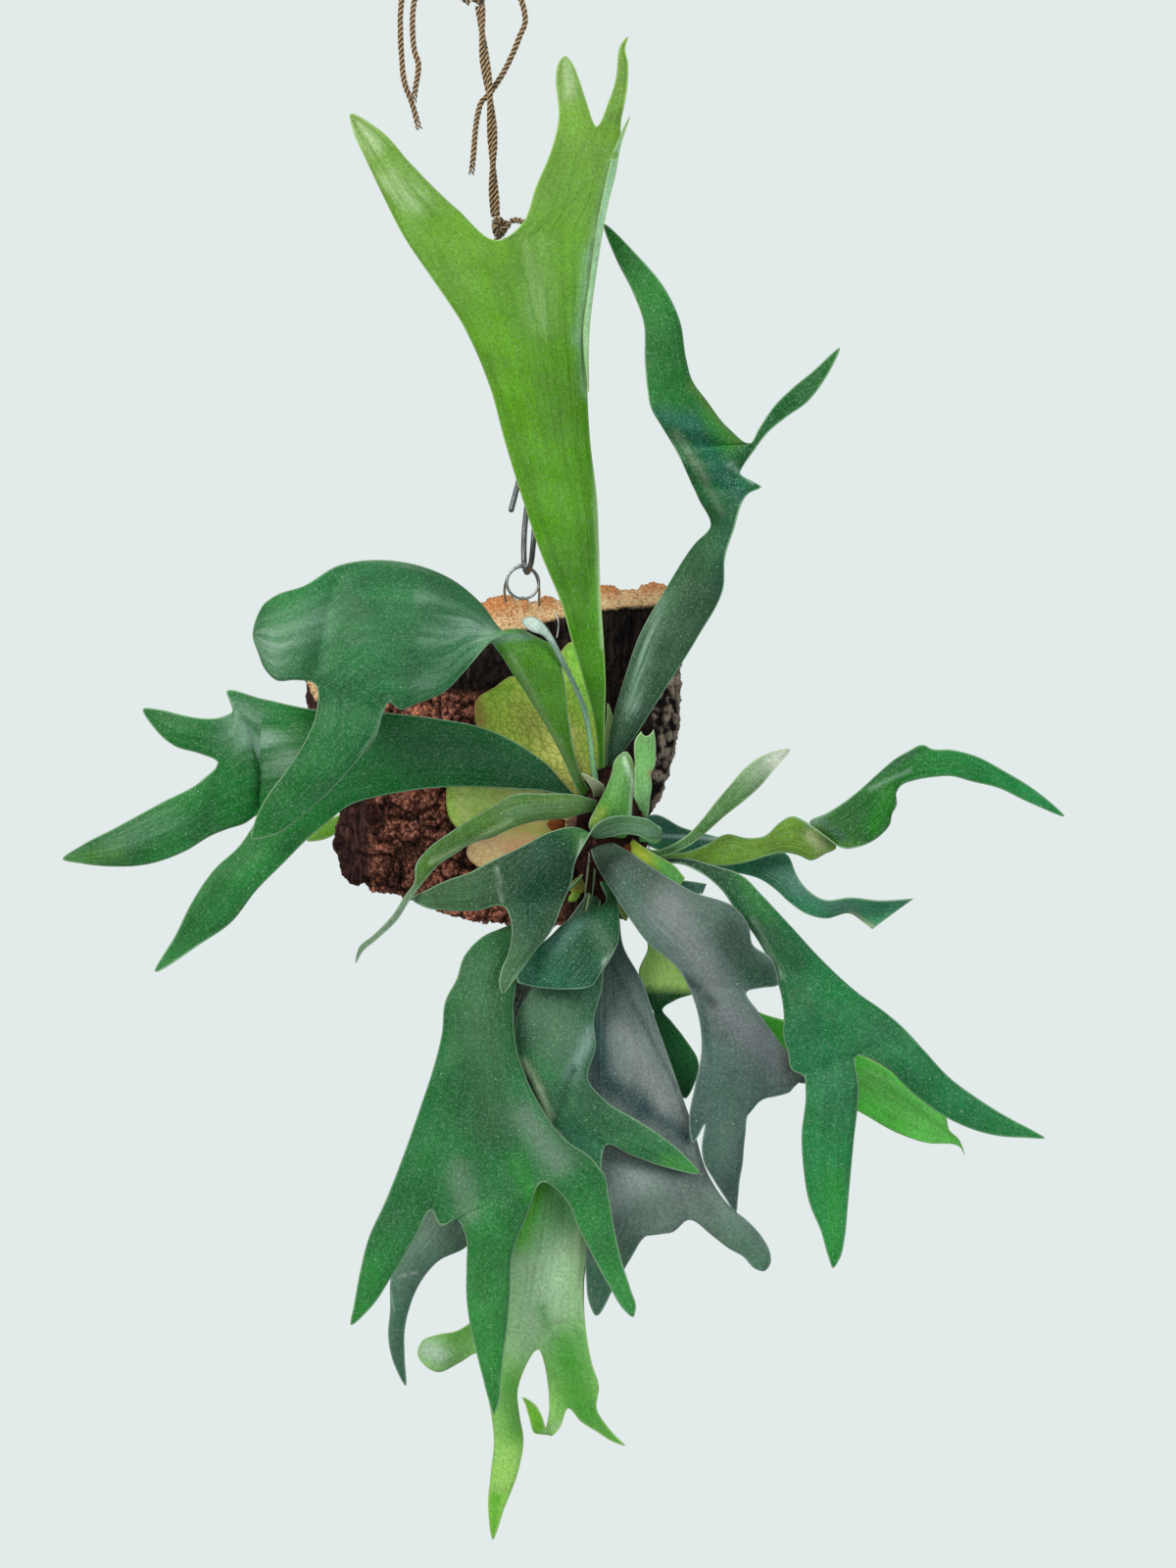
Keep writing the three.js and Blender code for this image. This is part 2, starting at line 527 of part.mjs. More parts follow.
            tip: [646, 1344, 61] },
        ] },
    ],
  },
  frond_front_flap: {
    rows: [[612, 900, 624, 896, 21], [617, 922, 631, 921, 38], [591, 933, 632, 945, 48, 0, 2],
      [574, 943, 630, 964, 54, 0, 3], [561, 956, 621, 981, 56, 0, 3], [542, 971, 611, 996, 58, 0, 2],
      [526, 990, 604, 1006, 59, 0, 1], [528, 1003, 594, 1009, 60, 0, 0, 560, 1009]],
  },
  frond_middle: {
    rows: [[604, 903, 616, 900, 10], [598, 928, 612, 930, 22], [578, 960, 616, 975, 36, 0, 1],
      [546, 1006, 614, 1010, 46, 0, 3], [530, 1030, 606, 1040, 50, 0, 4],
      [525, 1055, 608, 1068, 52, 0, 4], [533, 1092, 600, 1101, 53, 0, 3],
      [547, 1125, 619, 1124, 52, 0, 2], [567, 1151, 650, 1143, 51]],
    notch: [0.55, 618, 1169, 51],
    lobes: [
      { rows: [[585, 1174, 614, 1184, 51]], tip: [613, 1200, 51] },
      { rows: [[645, 1179, 673, 1158, 51, 0, 1], [682, 1192, 698, 1178, 50]], tip: [714, 1197, 49] },
    ],
  },
  frond_bottom: {
    rows: [[602, 908, 612, 908, 3], [592, 950, 604, 950, 11], [578, 1010, 596, 1010, 21],
      [558, 1080, 590, 1080, 29, 0, 1], [540, 1150, 592, 1150, 35, 0, 2],
      [518, 1215, 597, 1222, 38, 0, 3], [500, 1265, 599, 1275, 40, 0, 3],
      [489, 1310, 596, 1311, 40, 0, 3], [484, 1345, 597, 1348, 39]],
    notch: [0.12, 487, 1381, 40],
    lobes: [
      { rows: [[466, 1358, 468, 1391, 41, 0, 1], [446, 1362, 447, 1400, 44, 0, 2],
        [431, 1368, 434, 1394, 47]],
        tip: [426, 1381, 48] },
      { rows: [[493, 1404, 604, 1391, 39]],
        notch: [0.5, 549, 1377, 41],
        lobes: [
          { rows: [[499, 1431, 528, 1421, 39, 0, 1], [502, 1448, 530, 1443, 38.5, 0, 1],
            [504, 1470, 534, 1468, 38, 0, 1],
            [501, 1502, 529, 1500, 37, 0, 1], [498, 1537, 514, 1541, 36]], tip: [503, 1571, 35] },
          { rows: [[560, 1424, 611, 1414, 39]],
            notch: [0.4, 580, 1437, 39],
            lobes: [
              { rows: [[559, 1449, 571, 1457, 42], [554, 1462, 563, 1465, 46],
                [545, 1462, 557, 1457, 49.5], [540, 1447, 553, 1445, 51.5], [536, 1433, 546, 1433, 52]],
                tip: [533, 1426, 52] },
              { rows: [[592, 1450, 609, 1438, 38], [609, 1461, 618, 1453, 37],
                [625, 1471, 630, 1467, 36]],
                tip: [638, 1475, 36] },
            ] },
        ] },
    ],
  },
  frond_grey_back_left: {
    rows: [[606, 902, 614, 898, 1], [578, 940, 600, 938, 4], [526, 996, 572, 1002, 12],
      [506, 1056, 545, 1062, 19], [470, 1140, 520, 1142, 26, 0, 1], [440, 1210, 500, 1222, 31, 0, 2],
      [414, 1262, 476, 1272, 33, 0, 2], [405, 1284, 447, 1287, 33, 0, 1], [399, 1303, 430, 1307, 33],
      [398, 1337, 418, 1334, 32], [396, 1363, 413, 1358, 31], [401, 1389, 413, 1386, 30]],
    tip: [414, 1414, 30],
  },
  frond_bent_back: {
    rows: [[632, 906, 642, 901, 5], [648, 938, 658, 931, 7], [661, 966, 674, 959, 9],
      [652, 991, 706, 984, 13, 0, 2], [655, 1009, 710, 1012, 18, 0, 3],
      [661, 1024, 690, 1020, 21, 0, 1], [667, 1033, 676, 1030, 21], [665, 1042, 685, 1042, 20, 0, 1],
      [670, 1060, 699, 1060, 20, 0, 1], [678, 1082, 713, 1086, 20, 0, 1], [688, 1104, 710, 1102, 19]],
    tip: [699, 1121, 18],
  },
  frond_light_back_right: {
    rows: [[640, 895, 648, 886, 1], [660, 940, 672, 930, -3], [685, 985, 700, 970, -2],
      [718, 1026, 735, 1000, 0], [762, 1062, 773, 1032, 4, 0, 1], [812, 1094, 810, 1044, 8, 0, 2],
      [845, 1117, 850, 1064, 11, 0, 2], [880, 1136, 886, 1080, 13, 0, 3],
      [918, 1157, 922, 1099, 14, 0, 3], [952, 1167, 952, 1124, 15, 0, 1], [966, 1167, 966, 1141, 15],
      [974, 1168, 968, 1152, 15], [980, 1171, 979, 1163, 15]],
    tip: [984, 1179, 15],
  },
  frond_big_right: {
    rows: [[636, 890, 644, 880, 13], [665, 886, 668, 876, 17], [690, 881, 700, 876, 24],
      [712, 889, 727, 883, 32], [736, 908, 758, 894, 38, 0, 1], [750, 928, 778, 914, 43, 0, 2],
      [775, 962, 805, 943, 49, 0, 3], [793, 1000, 838, 979, 54, 0, 4], [800, 1040, 879, 1016, 58, 0, 5],
      [799, 1056, 898, 1029, 59, 0, 5], [804, 1074, 912, 1040, 60, 0, 4],
      [808, 1092, 921, 1048, 60.5, 0, 3], [820, 1098, 927, 1054, 61, 0, 2]],
    notch: [0.5, 874, 1078, 62],
    lobes: [
      { rows: [[822, 1112, 876, 1108, 61, 0, 2], [818, 1160, 871, 1165, 60, 0, 3],
        [820, 1193, 868, 1197, 59, 0, 2], [826, 1228, 865, 1231, 58.5, 0, 1],
        [838, 1257, 862, 1262, 58, 0, 1], [845, 1282, 857, 1284, 57]], tip: [850, 1294, 56] },
      { rows: [[905, 1090, 944, 1073, 61, 0, 2], [929, 1113, 966, 1097, 60, 0, 2],
        [967, 1141, 998, 1121, 58, 0, 1], [1018, 1159, 1034, 1143, 56], [1046, 1161, 1055, 1154, 55]],
        tip: [1066, 1161, 54] },
    ],
  },
  frond_wavy_right: {
    rows: [[645, 882, 650, 873, 6], [672, 877, 672, 871, 9], [700, 880, 702, 869, 12],
      [726, 883, 722, 861, 15], [745, 883, 742, 851, 18, 0, 1], [762, 880, 762, 855, 20],
      [781, 874, 780, 853, 22], [800, 870, 796, 839, 25, 0, 1], [816, 873, 807, 833, 28, 2, 1],
      [828, 878, 821, 838, 33, 6], [842, 871, 834, 847, 36, 10], [853, 865, 846, 856, 38, 13],
      [850, 858, 857, 864, 40, 14], [836, 847, 864, 866, 41.5, 12], [826, 839, 872, 865, 42.5, 9],
      [845, 829, 883, 862, 43.5, 6, 1], [869, 813, 899, 852, 44.5, 3, 2], [881, 803, 908, 841, 45, 1, 3],
      [893, 792, 910, 831, 45.5, 0, 3], [904, 782, 915, 821, 46, 0, 2], [914, 774, 914, 810, 46.5, 0, 2],
      [926, 767, 919, 802, 47, 0, 1], [942, 760, 934, 796, 47, 0, 1], [950, 764, 951, 793, 46.8, 0, 1],
      [969, 765, 971, 792, 46, 0, 1], [994, 771, 990, 797, 44, 0, 1], [1027, 788, 1018, 804, 41],
      [1056, 806, 1048, 818, 37]],
    tip: [1086, 833, 34],
  },
  frond_twisted_right: {
    rows: [[645, 856, 650, 836, 1], [668, 866, 668, 831, -1], [690, 874, 696, 844, -1],
      [720, 884, 725, 852, 1], [744, 889, 758, 860, 4, 0, 1], [778, 898, 785, 868, 8, 0, 2],
      [792, 908, 802, 871, 11, 0, 2], [806, 921, 813, 893, 14, 0, 1], [824, 933, 823, 907, 16, 2],
      [842, 937, 840, 918, 17, 6], [868, 932, 868, 916, 18, 10], [881, 941, 897, 919, 18, 6],
      [890, 948, 932, 917, 18, 2]],
  },
  frond_young_right: {
    rows: [[648, 872, 650, 862, 15], [676, 874, 672, 867, 24], [705, 862, 700, 853, 26],
      [722, 848, 715, 838, 29, 0, 1], [739, 833, 730, 819, 31, 0, 1], [758, 818, 745, 801, 33, 0, 1],
      [775, 803, 760, 784, 34, 0, 1], [790, 785, 778, 771, 35]],
    tip: [806, 765, 36],
  },
  frond_short_green: {
    rows: [[636, 863, 644, 855, 23], [650, 875, 658, 865, 27], [668, 887, 674, 875, 30, 0, 1],
      [684, 899, 688, 883, 31], [694, 904, 699, 896, 31]],
  },
  frond_stub_right: {
    rows: [[634, 898, 640, 889, 13], [660, 906, 664, 896, 18], [690, 911, 694, 898, 20],
      [708, 912, 710, 900, 21], [717, 912, 721, 902, 21]],
  },
  frond_young_upright: {
    rows: [[615, 858, 635, 858, 23], [601, 840, 644, 843, 37, 0, 3], [609, 823, 645, 820, 42, 0, 5],
      [617, 808, 646, 803, 43, 0, 4], [624, 790, 647, 786, 44, 0, 3], [628, 775, 645, 775, 45, 0, 1]],
    tip: [639, 767, 45],
  },
  frond_young_toothed: {
    rows: [[642, 846, 650, 839, 11], [651, 829, 661, 832, 17], [647, 818, 663, 816, 20, 0, 1],
      [647, 798, 665, 800, 22, 0, 1], [647, 788, 664, 790, 23, 0, 1], [648, 779, 668, 782, 24, 0, 1],
      [647, 766, 669, 770, 25, 0, 1], [648, 755, 669, 757, 26], [654, 746, 667, 744, 26, 0, 0, 660, 751]],
  },
  frond_thread: {
    rows: [[606, 806, 612, 802, 19], [602, 782, 608, 780, 26], [599, 752, 604, 750, 33],
      [594, 727, 599, 724, 39], [580, 692, 584, 689, 47], [568, 670, 573, 667, 56],
      [560, 655, 565, 651, 62], [553, 648, 558, 640, 64.5], [544, 645, 550, 632, 66],
      [536, 640, 541, 629, 66]],
    tip: [532, 633, 66],
  },
  frond_sliver: {
    rows: [[616, 801, 623, 800, -2], [615, 770, 621, 768, 0], [617, 745, 624, 743, 2],
      [619, 730, 625, 729, 3]],
    tip: [620, 717, 3],
  },
  frond_dry_curl: {
    rows: [[606, 815, 615, 813, 22], [603, 804, 616, 801, 29], [597, 795, 606, 794, 31]],
    tip: [593, 789, 32],
  },
};

// Shield fronds lie flat on the bark round the crown
const shields = {
  shield_upper_left: {
    rows: [[592, 822, 602, 806, 8], [570, 803, 586, 775, 9, 0, 1], [540, 781, 562, 735, 7, 0, 2],
      [505, 763, 543, 703, 5, 0, 1], [487, 743, 522, 690, 3.5], [484, 728, 505, 701, 3]],
    tip: [485, 716, 2.5],
  },
  shield_top: {
    rows: [[598, 812, 612, 802, 5], [585, 775, 613, 775, 3.5], [572, 735, 612, 740, 2, 0, 1],
      [565, 700, 608, 705, 1, 0, 1], [566, 678, 602, 680, 0.5]],
    tip: [583, 655, 0],
  },
  shield_left: {
    rows: [[592, 843, 596, 828, 6], [560, 844, 560, 802, 5], [520, 848, 520, 790, 4, 0, 1],
      [485, 850, 485, 783, 3.5], [463, 842, 461, 790, 3]],
    tip: [455, 815, 2.5],
  },
  shield_dried: {
    rows: [[594, 864, 592, 848, 10], [565, 872, 562, 838, 10, 0, 1], [533, 878, 530, 834, 8.5, 0, 1],
      [508, 886, 503, 850, 7], [489, 885, 478, 862, 6]],
    tip: [476, 871, 5.5],
  },
};

// The leaf tip that shows past the left edge of the bark grows on its back
const BACK_LEAF_SEAT = 1.4;
const backLeaf = {
  rows: [[392, 826, 392, 846, barkBack(392) - BACK_LEAF_SEAT],
    [345, 832, 346, 850, barkBack(345) - BACK_LEAF_SEAT], [325, 843, 329, 857, -49]],
  tip: [313, 858, -48],
};

// Wire and twine
const hookLine = [[546, 532, 3], [544, 556, 3], [542, 574, 0], [538, 584, -8], [535, 575, -17],
  [535, 545, -19], [538, 515, -19], [541, 492, -19], [541, 479, -23], [537, 474, -29],
  [532, 482, -35], [527, 500, -36], [521, 523, -36]];
const stapleLine = [[516.5, 626, -22], [516, 614, -20], [515, 600, -16], [520.5, 585, -12.5],
  [533, 576, -11.5], [545.5, 585, -12.5], [550, 600, -16], [550, 614, -20], [550, 626, -22]];
const tieLine = [[566, 623, -9.8], [567.5, 628, -4.3], [569.5, 633, -0.5], [569.8, 640, -1.2],
  [569, 646, -1.5], [568, 651, -1.5]];
const mainTwine = [[490, 6.2, TWINE_BACK], [494.5, 60, TWINE_BACK], [499.5, 95, TWINE_BACK],
  [502.5, 140, TWINE_BACK], [503.5, 190, TWINE_BACK], [505.5, 220, TWINE_BACK]];
const hookTwine = [[507, 243.2, TWINE_BACK], [512, 290, -15], [518, 350, -19], [521, 410, -24],
  [523, 457, -27], [526, 474, -28.5], [538, 484.5, -28.5], [550, 474, -28.5], [553, 457, -27],
  [546, 410, -24], [534, 350, -19], [524, 290, -15], [515, 243.2, TWINE_BACK]];
const twineStub = [[521.2, 225.5, TWINE_BACK], [527, 224.5, TWINE_BACK], [534, 226.5, -10], [540, 230, -8]];
const rightTwine = [[497.4, -8.2, TWINE_BACK], [510, -16, TWINE_BACK], [527, -8, -13], [536, 20, -14],
  [530, 38, -15], [518, 66, -16.2], [505, 88, -17], [498, 97, -17], [491.5, 104, -17], [487.5, 117, -16],
  [485, 135, -14.5], [483, 160, -13], [481, 178, -12]];
const loopTwine = [[485.4, -10.8, TWINE_BACK], [477.5, -20, TWINE_BACK], [475.5, -33, TWINE_BACK],
  [480, -42, TWINE_BACK], [489, -46, TWINE_BACK], [498, -42, TWINE_BACK], [502.5, -33, TWINE_BACK],
  [500.5, -21, TWINE_BACK], [493, -12, TWINE_BACK - 3]];
const leftTailLong = [[478.6, -3.6, TWINE_BACK], [460, -18, TWINE_BACK], [434, -28, TWINE_BACK],
  [414, -16, TWINE_BACK], [409, 10, TWINE_BACK], [410, 60, TWINE_BACK], [413, 85, TWINE_BACK],
  [420, 104, TWINE_BACK], [428, 132, TWINE_BACK]];
const leftTailShort = [[479, 3, -11], [462, -8, -7], [440, -14, -7], [425, -4, -8], [421, 20, -8],
  [423, 52, -8], [427, 66, -8], [424, 90, -8], [422, 104, -8]];

function knot({ x, y, radii, lean }) {
  const ball = new THREE.SphereGeometry(1, 12, 8);
  ball.scale(...radii);
  ball.rotateY(lean);
  const place = at(x, y, TWINE_BACK);
  ball.translate(place.x, place.y, place.z);
  return fromGeometry(ball);
}

function ringSolid() {
  const ring = new THREE.TorusGeometry(RING_RADIUS, RING_WIRE / 2, 6, 24);
  ring.rotateX(Math.PI / 2);
  const place = at(...RING_CENTRE);
  ring.translate(place.x, place.y, place.z);
  return fromGeometry(ring);
}

// Materials
function finish(color, roughness, metalness = 0) {
  return new THREE.MeshStandardMaterial({ color, roughness, metalness });
}
const finishes = {
  bark: finish('#4a2d20', 0.95),
  crown: finish('#2a1c14', 0.95),
  steel: finish('#767d80', 0.35, 1),
  twine: finish('#a07c52', 0.9),
  dark: finish('#1f6b3c', 0.55),
  grey: finish('#5b6f66', 0.6),
  bright: finish('#5fa31f', 0.5),
  pale: finish('#7fbf5a', 0.6),
  shield: finish('#9bb83a', 0.6),
  dried: finish('#d9a878', 0.8),
};
const brightFronds = ['frond_top', 'frond_bottom', 'frond_light_back_right', 'frond_short_green'];
const greyFronds = ['frond_grey_right', 'frond_purple_front', 'frond_grey_back_left', 'frond_thread'];
const paleFronds = ['frond_young_upright', 'frond_young_toothed', 'frond_young_right', 'frond_sliver'];
function frondFinish(name) {
  if (brightFronds.includes(name)) return finishes.bright;
  if (greyFronds.includes(name)) return finishes.grey;
  if (paleFronds.includes(name)) return finishes.pale;
  return finishes.dark;
}

// Assembly
const fern = new THREE.Group();
function add(name, solid, material) {
  const mesh = new THREE.Mesh(toGeometry(solid), material);
  mesh.name = name;
  fern.add(mesh);
  return solid;
}

const staple = cord(stapleLine, STAPLE_WIRE, 8);
const legs = [stapleLine.slice(0, 2), stapleLine.slice(-2).reverse()];
const legHoles = legs.map(([[x, y, forward], mouth]) => (
  cord([[x, y + 1, forward], mouth], STAPLE_WIRE + 2 * SEAT_GAP, 8)));
const slab = legHoles.reduce((bark, hole) => bark.subtract(hole), slabSolid());
add('cork_slab', slab, finishes.bark);
const slabBlock = slab.add(slab.translate([0, -SEAT_GAP, 0]));
add('crown', crownSolid(0).subtract(slabBlock), finishes.crown);
const crownBlock = crownSolid(SEAT_GAP);

add('staple', staple, finishes.steel);
add('ring', ringSolid(), finishes.steel);
add('s_hook', cord(hookLine, HOOK_WIRE, 8), finishes.steel);
add('wire_tie', cord(tieLine, TIE_WIRE, 6), finishes.steel);

add('twine_main', cord(mainTwine, TWINE_DOUBLED), finishes.twine);
add('twine_to_hook', cord(hookTwine, TWINE_STRAND), finishes.twine);
add('twine_stub', cord(twineStub, TWINE_STRAND), finishes.twine);
add('twine_right', cord(rightTwine, TWINE_STRAND), finishes.twine);
add('twine_loop', cord(loopTwine, TWINE_STRAND), finishes.twine);
add('twine_tail_long', cord(leftTailLong, TWINE_STRAND), finishes.twine);
add('twine_tail_short', cord(leftTailShort, TWINE_STRAND), finishes.twine);
add('knot_lower', knot(KNOT_LOWER), finishes.twine);
add('knot_top', knot(KNOT_TOP), finishes.twine);

for (const [name, part] of Object.entries(shields)) {
  const colour = name === 'shield_dried' ? finishes.dried : finishes.shield;
  add(name, biggest(frond(part, SHIELD_THICKNESS).subtract(crownBlock)), colour);
}
for (const [name, part] of Object.entries(fronds)) {
  add(name, biggest(frond(part).subtract(crownBlock)), frondFinish(name));
}
add('leaf_back', frond(backLeaf, SHIELD_THICKNESS), finishes.pale);

export default fern;
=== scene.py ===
"""A staghorn fern grown on a slab of cork bark, hung by a wire hook from jute twine.

Metres, +Z up, seen from the front along +Y. The origin is the top of the hanging loop.
"""

import math
from functools import partial

import bpy
import numpy as np
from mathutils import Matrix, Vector, kdtree, noise


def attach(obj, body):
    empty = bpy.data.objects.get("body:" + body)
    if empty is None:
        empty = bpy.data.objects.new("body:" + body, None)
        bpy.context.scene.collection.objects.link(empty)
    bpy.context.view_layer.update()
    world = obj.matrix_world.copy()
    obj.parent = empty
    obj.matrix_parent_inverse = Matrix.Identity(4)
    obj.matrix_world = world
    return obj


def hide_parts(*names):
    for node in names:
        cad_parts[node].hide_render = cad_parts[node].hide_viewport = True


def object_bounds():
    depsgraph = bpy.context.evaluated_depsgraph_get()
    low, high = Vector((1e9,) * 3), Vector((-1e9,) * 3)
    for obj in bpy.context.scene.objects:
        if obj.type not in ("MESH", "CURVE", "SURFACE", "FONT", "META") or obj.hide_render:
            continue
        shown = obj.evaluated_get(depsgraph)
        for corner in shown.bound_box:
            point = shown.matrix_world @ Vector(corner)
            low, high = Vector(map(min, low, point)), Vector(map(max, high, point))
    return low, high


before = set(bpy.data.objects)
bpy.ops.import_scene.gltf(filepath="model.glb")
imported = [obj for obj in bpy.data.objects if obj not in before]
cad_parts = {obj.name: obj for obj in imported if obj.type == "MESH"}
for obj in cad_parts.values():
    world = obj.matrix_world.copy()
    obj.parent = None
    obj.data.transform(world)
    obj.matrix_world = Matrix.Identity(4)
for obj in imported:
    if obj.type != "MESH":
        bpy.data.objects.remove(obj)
cad_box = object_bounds()

# Camera
# The drawing of the fern is the one that its solids follow: x to the right and y down, in steps of
# DRAWING_STEP at the bark, from an eye EYE_DISTANCE in front of it and level with EYE_LINE. The third number
# says how far forward of the bark a point lies. The camera stands at that eye, level.
DRAWING_STEP = 0.00045
EYE_DISTANCE = 1.5
EYE_LINE = (600, 800)
HANG_LOOP_TOP = (489, -42)
TWINE_BACK = -12
MM = 0.001


def seen(x, y, forward):
    scale = DRAWING_STEP * (1 - forward * MM / EYE_DISTANCE)
    return np.stack([(x - EYE_LINE[0]) * scale, -forward * MM, (EYE_LINE[1] - y) * scale], axis=-1)


HANG_POINT = seen(*HANG_LOOP_TOP, TWINE_BACK)


def at(x, y, forward):
    return seen(x, y, forward) - HANG_POINT


def new_object(name, data):
    made = bpy.data.objects.new(name, data)
    bpy.context.scene.collection.objects.link(made)
    return made


EYE = at(*EYE_LINE, EYE_DISTANCE / MM)
SENSOR_SIDE = 36
DRAWING_HEIGHT = 1600
lens = bpy.data.cameras.new("camera")
lens.sensor_width = SENSOR_SIDE
lens.lens = SENSOR_SIDE * EYE_DISTANCE / (DRAWING_HEIGHT * DRAWING_STEP)
camera = new_object("camera", lens)
camera.location = EYE
camera.rotation_euler = (math.pi / 2, 0, 0)
bpy.context.scene.camera = camera
bpy.context.view_layer.update()

# Jute twine
# Three-ply garden twine, spun and laid from jute fibre, whose loose ends bristle. A doubled length carries
# the hook from a knot under the hanging loop, and the cut tails hang free from it.
TWINE_STRAND = 2.8 * MM
TWINE_DOUBLED = 4.8 * MM
KNOT_LOWER = (510.5, 231.5)
KNOT_LOWER_RADII = (4.8 * MM, 4.4 * MM, 5.8 * MM)
KNOT_TOP = (489, -2)
KNOT_TOP_RADII = (4.2 * MM, 4.2 * MM, 3.4 * MM)
KNOT_LEAN = 0.3
KNOT_TURN = 1.3
KNOT_INNER_SHARE = 0.75
KNOT_TIGHTNESS = 0.95
KNOT_STEPS = 160
PLY_COUNT = 3
PLY_SIDES = 8
PLY_RADIUS_SHARE = 0.45
PLY_SPREAD_SHARE = 0.58
PLY_SWELL_LENGTH = 3.1 * MM
PLY_PITCH = 7.5 * MM
DOUBLING_PITCH = 62 * MM
DOUBLING_SLACK = 1.1
FRAY_LENGTH = 7 * MM
HAIRS_PER_METRE = 3600
HAIR_WIDTH = 0.06 * MM
HAIR_MEAN_MM = 0.7
HAIR_LONGEST_MM = 2.0
TWINE_STEP = 0.6 * MM
TOUCHING = 1e-9

# A point without a third number lies at TWINE_BACK
main_twine = [[490, 6.2], [494.5, 60], [499.5, 95], [502.5, 140], [503.5, 190], [505.5, 220]]
hook_twine = [[507, 243.2], [512, 290, -15], [518, 350, -19], [521, 410, -24], [523, 457, -27],
              [526, 474, -28.5], [538, 484.5, -28.5], [550, 474, -28.5], [553, 457, -27], [546, 410, -24],
              [534, 350, -19], [524, 290, -15], [515, 243.2]]
twine_stub = [[521.2, 225.5], [527, 224.5], [534, 226.5, -10], [540, 230, -8]]
right_twine = [[497.4, -8.2], [510, -16], [527, -8, -13], [536, 20, -14], [530, 38, -15], [518, 66, -16.2],
               [505, 88, -17], [498, 97, -17], [491.5, 104, -17], [487.5, 117, -16], [485, 135, -14.5],
               [483, 160, -13], [481, 178]]
loop_twine = [[485.4, -10.8], [477.5, -20], [475.5, -33], [480, -42], [489, -46], [498, -42], [502.5, -33],
              [500.5, -21], [493, -12, -15]]
long_tail = [[478.6, -3.6], [460, -18], [434, -28], [414, -16], [409, 10], [410, 60], [413, 85],
             [420, 104], [428, 132]]
short_tail = [[479, 3, -11], [462, -8, -7], [440, -14, -7], [425, -4, -8], [421, 20, -8],
              [423, 52, -8], [427, 66, -8], [424, 90, -8], [422, 104, -8]]


def length_of(vectors):
    return np.linalg.norm(vectors, axis=-1, keepdims=True)


def along_line(points):
    """How far along a line each of its points lies."""
    return np.concatenate([[0], np.cumsum(length_of(np.diff(points, axis=0))[:, 0])])


def unit(vector):
    return vector / np.linalg.norm(vector)


def smooth_line(points, before, after, tension=1.0):
    """A smooth line through given points, whose ends look to a neighbour point."""
    ring = np.vstack([before, points, after])

    def slope(a, b, c, span):
        ab = length_of(b - a) ** tension
        bc = length_of(c - b) ** tension
        short = np.minimum(ab, bc) < TOUCHING
        chord = c - a
        straight = chord / np.maximum(length_of(chord), TOUCHING) * np.where(span > 0, span, 1)
        ab = np.maximum(ab, TOUCHING)
        bc = np.maximum(bc, TOUCHING)
        curved = ((b - a) * bc / ab + (c - b) * ab / bc) * span / (ab + bc)
        return np.where(short, straight, curved)

    def line(t):
        i = np.minimum(np.floor(t).astype(int), len(points) - 2)
        s = (t - i)[:, None]
        p0, p1, p2, p3 = (ring[i + k] for k in range(4))
        span = length_of(p2 - p1) ** tension
        return (p1 * (1 + 2 * s) * (1 - s) ** 2 + slope(p0, p1, p2, span) * s * (1 - s) ** 2
                + p2 * s * s * (3 - 2 * s) + slope(p1, p2, p3, span) * s * s * (s - 1))

    return line


def even_steps(points, step):
    """The same line with its points a step apart."""
    along = along_line(points)
    stops = np.linspace(0, along[-1], max(4, round(along[-1] / step) + 1))
    return np.stack([np.interp(stops, along, points[:, k]) for k in range(3)], axis=1)


def cord_line(drawn, step=TWINE_STEP):
    points = np.array([at(*(point + [TWINE_BACK])[:3]) for point in drawn])
    line = smooth_line(points, 2 * points[0] - points[1], 2 * points[-1] - points[-2], tension=0.5)
    return even_steps(line(np.linspace(0, len(points) - 1, 60 * len(points))), step)


def line_length(points):
    return float(length_of(np.diff(points, axis=0)).sum())


def side_directions(points):
    """Two directions square to a line at each of its points, that turn with it as little as they can."""
    ahead = np.gradient(points, axis=0)
    ahead /= length_of(ahead)
    across = [unit(np.cross(ahead[0], (0.3, 1, 0.2)))]
    for direction in ahead[1:]:
        across.append(unit(across[-1] - direction * np.dot(across[-1], direction)))
    across = np.array(across)
    return across, np.cross(ahead, across)


def ring_faces(rings, sides):
    """The faces between rings of points laid one after another."""
    faces = []
    for i in range(rings - 1):
        for j in range(sides):
            k = (j + 1) % sides
            faces.append((i * sides + j, i * sides + k, (i + 1) * sides + k, (i + 1) * sides + j))
    return faces


